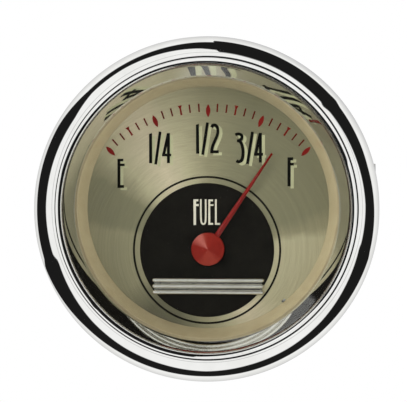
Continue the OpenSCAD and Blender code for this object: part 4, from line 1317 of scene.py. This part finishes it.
@dataclass
class Studio:
    """Pale floor, soft lamps, a white tent with a dark band for polished metal, and the camera."""

    # Camera: degrees to the right and up, metres from the point that it aims at
    azimuth: float = 2.7
    elevation: float = 2.9
    distance: float = 0.62
    # Focal length and width of the film, both in millimetres
    lens: float = 314.5
    film: float = 36.0
    aim: Triple = (-0.0005, -0.0083, 0.00148)
    # Soft light on matt surfaces: from everywhere, and what the sides add to it
    level: float = 0.53
    side_level: float = 1.5
    # Half width, half height and middle of the tent's dark opening for the camera, as parts of one, and how
    # soft its edge is
    opening: Triple = (0.1, 0.15, -0.04)
    opening_blur: float = 0.12
    # Light of the cloth at the front and straight behind the gauge, and where it starts to fall, as a part of
    # half a turn off the view
    cloth: Point = (0.97, 0.55)
    cloth_falls: float = 0.6
    # Seam in the cloth: degrees off the view, half its width, and how much darker it is
    seam: Triple = (23.0, 1.5, 0.3)
    # Light of the dark band and the opening
    unlit: float = 0.012
    # How soft the band's edges are, as a part of half a turn
    band_blur: float = 0.012
    # Clockwise place round the view, and where the tent's dark band starts and ends, in degrees off the view
    band: tuple[Triple, ...] = (
        (0, 26, 107), (12, 24, 105), (29, 24, 106), (45, 23, 106), (48.5, 23, 107), (49.5, 15, 111),
        (51.5, 15, 111), (52.5, 24, 100), (61.5, 26, 96), (77.5, 32, 90), (93, 39, 98), (108, 37.5, 105),
        (110.5, 33, 111), (124.5, 41, 104), (139, 52, 99), (154, 59, 97), (168.5, 61, 98), (183, 66, 97),
        (197, 62, 99), (211, 61, 101), (225, 56, 110), (238.5, 45, 130), (247, 38, 145), (250.5, 54, 121),
        (266.5, 54, 118), (295, 46, 119), (299, 46, 114), (311, 63, 94), (326, 61, 91), (341.5, 53, 91),
        (354, 46, 94), (359, 38, 94))
    # Floor in metres: how low it lies, and its radius
    floor_drop: float = -0.13
    floor_radius: float = 0.5

    def view_axis(self) -> Vector:
        """Gives the direction from the gauge to the camera."""
        a, e = math.radians(self.azimuth), math.radians(self.elevation)
        return Vector((math.cos(e) * math.sin(a), -math.cos(e) * math.cos(a), math.sin(e)))

    def camera(self) -> None:
        """Makes the camera at the photograph's angle."""
        data = bpy.data.cameras.new("camera")
        data.sensor_width, data.lens = self.film, self.lens
        data.clip_start, data.clip_end = 0.05, 20.0
        camera = bpy.data.objects.new("camera", data)
        camera.location = Vector(self.aim) + self.view_axis() * self.distance
        camera.rotation_euler = self.view_axis().to_track_quat("Z", "Y").to_euler()
        bpy.context.scene.collection.objects.link(camera)
        bpy.context.scene.camera = camera
        log.info("camera at %s", tuple(round(v, 4) for v in camera.location))

    def lamps(self) -> None:
        """Makes two large soft lamps, seen in no reflection."""
        for name, place, size, watts in (
                ("key_lamp", (-0.85, -0.6, 0.35), 0.7, 7.2),
                ("fill_lamp", (0.85, -0.5, 0.15), 0.8, 2.9)):
            data = bpy.data.lights.new(name, "AREA")
            data.shape, data.size, data.energy = "DISK", size, watts
            lamp = bpy.data.objects.new(name, data)
            lamp.location = place
            lamp.rotation_euler = Vector(place).to_track_quat("Z", "Y").to_euler()
            # Polished metal and glass show the tent and not the lamps
            lamp.visible_glossy = lamp.visible_transmission = lamp.visible_camera = False
            bpy.context.scene.collection.objects.link(lamp)

    def tent(self) -> None:
        """Makes the world: white for the camera, even for matt surfaces, a tent with a band for gloss."""
        world = bpy.data.worlds.new("tent")
        bpy.context.scene.world = world
        world.use_nodes = True
        world.cycles.sampling_method = "NONE"
        tree = world.node_tree
        tree.nodes.clear()
        way = add_node(tree, "TexCoord").outputs["Generated"]
        split = add_node(tree, "SeparateXYZ", links={0: way}).outputs
        clock = add_node(tree, "Math.FLOORED_MODULO", {1: 1.0}, {0: clockwise(tree, way)})
        limits = add_node(tree, "ValToRGB", links={0: clock})
        set_ramp(limits.color_ramp, [(p / 360, (a / 180, b / 180, 0, 1)) for p, a, b in self.band])
        start, end, _ = add_node(tree, "SeparateColor", links={0: limits}).outputs[:3]
        along = add_node(tree, "VectorMath.DOT_PRODUCT", {1: self.view_axis()}, {0: way})
        off = add_node(tree, "Math.ARCCOSINE", links={0: along.outputs["Value"]})
        angle = add_node(tree, "Math.DIVIDE", {1: math.pi}, {0: off})
        # Dark opening in front, where the camera stands
        wide, tall, middle = self.opening
        aside = add_node(tree, "VectorMath.SUBTRACT", {1: (0, 0, middle)}, {0: way})
        scaled = add_node(tree, "VectorMath.MULTIPLY", {1: (1 / wide, 0, 1 / tall)}, {0: aside})
        far = add_node(tree, "VectorMath.LENGTH", links={0: scaled}).outputs["Value"]
        hole = add_node(tree, "MapRange", {
            "interpolation_type": "SMOOTHSTEP", "From Min": 1 + self.opening_blur,
            "From Max": 1 - self.opening_blur}, {"Value": far})
        ahead = add_node(tree, "Math.LESS_THAN", {1: 0.0}, {0: split["Y"]})
        room = add_node(tree, "Math.MULTIPLY", links={0: ahead, 1: hole})
        # Dark band between its two edges
        edges = []
        for edge, blur in ((start, self.band_blur), (end, -self.band_blur)):
            gap = add_node(tree, "Math.SUBTRACT", links={0: angle, 1: edge})
            edges.append(add_node(tree, "MapRange", {
                "interpolation_type": "SMOOTHSTEP", "From Min": -blur, "From Max": blur}, {"Value": gap}))
        dark = add_node(tree, "Math.MULTIPLY", links={0: edges[0], 1: edges[1]})
        # White cloth elsewhere, which falls off behind the gauge and has one seam
        place, half, loss = self.seam
        seam = add_node(tree, "Math.COMPARE", {1: place / 180, 2: half / 180}, {0: angle})
        behind = add_node(tree, "MapRange", {
            "From Min": self.cloth_falls, "From Max": 1.0, "To Min": self.cloth[0], "To Max": self.cloth[1]},
            {"Value": angle})
        cloth = add_node(tree, "Math.MULTIPLY_ADD", {1: -loss}, {0: seam, 2: behind})
        unlit = add_node(tree, "Math.MAXIMUM", links={0: dark, 1: room})
        glow = add_node(tree, "Mix", {"data_type": "FLOAT", 3: self.unlit}, {0: unlit, 2: cloth})
        # Soft light for matt surfaces, the tent for polished ones and glass, and white for the camera
        ray = add_node(tree, "LightPath").outputs
        shiny = add_node(tree, "Math.MAXIMUM", links={0: ray["Is Glossy Ray"], 1: ray["Is Transmission Ray"]})
        side = add_node(tree, "Math.MULTIPLY", links={0: split["X"], 1: split["X"]})
        soft = add_node(tree, "Math.MULTIPLY_ADD", {1: self.side_level, 2: self.level}, {0: side})
        lit = add_node(tree, "Mix", {"data_type": "FLOAT"}, {0: shiny, 2: soft, 3: glow})
        seen = add_node(tree, "Mix", {"data_type": "FLOAT", 3: 1.0}, {0: ray["Is Camera Ray"], 2: lit})
        background = add_node(tree, "Background", {"Color": linear("#FFFFFF")}, {"Strength": seen})
        add_node(tree, "OutputWorld", links={"Surface": background})

    def floor(self) -> None:
        """Makes a plain pale floor well below the gauge, which hangs in its mount."""
        mesh = bpy.data.meshes.new("floor")
        edge = [(x, y, self.floor_drop) for x, y in circle(self.floor_radius, 96)]
        mesh.from_pydata(edge, [], [tuple(range(len(edge)))])
        mesh.materials.append(FLOOR_PAINT.material())
        floor = bpy.data.objects.new("floor", mesh)
        bpy.context.scene.collection.objects.link(floor)
        # Polished metal would show the floor's far edge, so it shows the tent there
        floor.visible_glossy = False
        floor.visible_transmission = False

    def build(self) -> None:
        """Sets up the whole studio."""
        bpy.context.scene.view_settings.view_transform = "Standard"
        self.camera()
        self.lamps()
        self.tent()
        self.floor()


def main() -> None:
    """Builds the studio and the gauge in order."""
    logging.basicConfig(level=logging.INFO, format="%(name)s: %(message)s")
    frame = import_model()
    Studio().build()
    dress_kept_nodes(frame["nodes"])
    for part in (Bezel(), SpacerRing(), DialPrint(), Terminals(), Clamp(), LampHolder()):
        part.build()


if __name__ == "__main__":
    main()
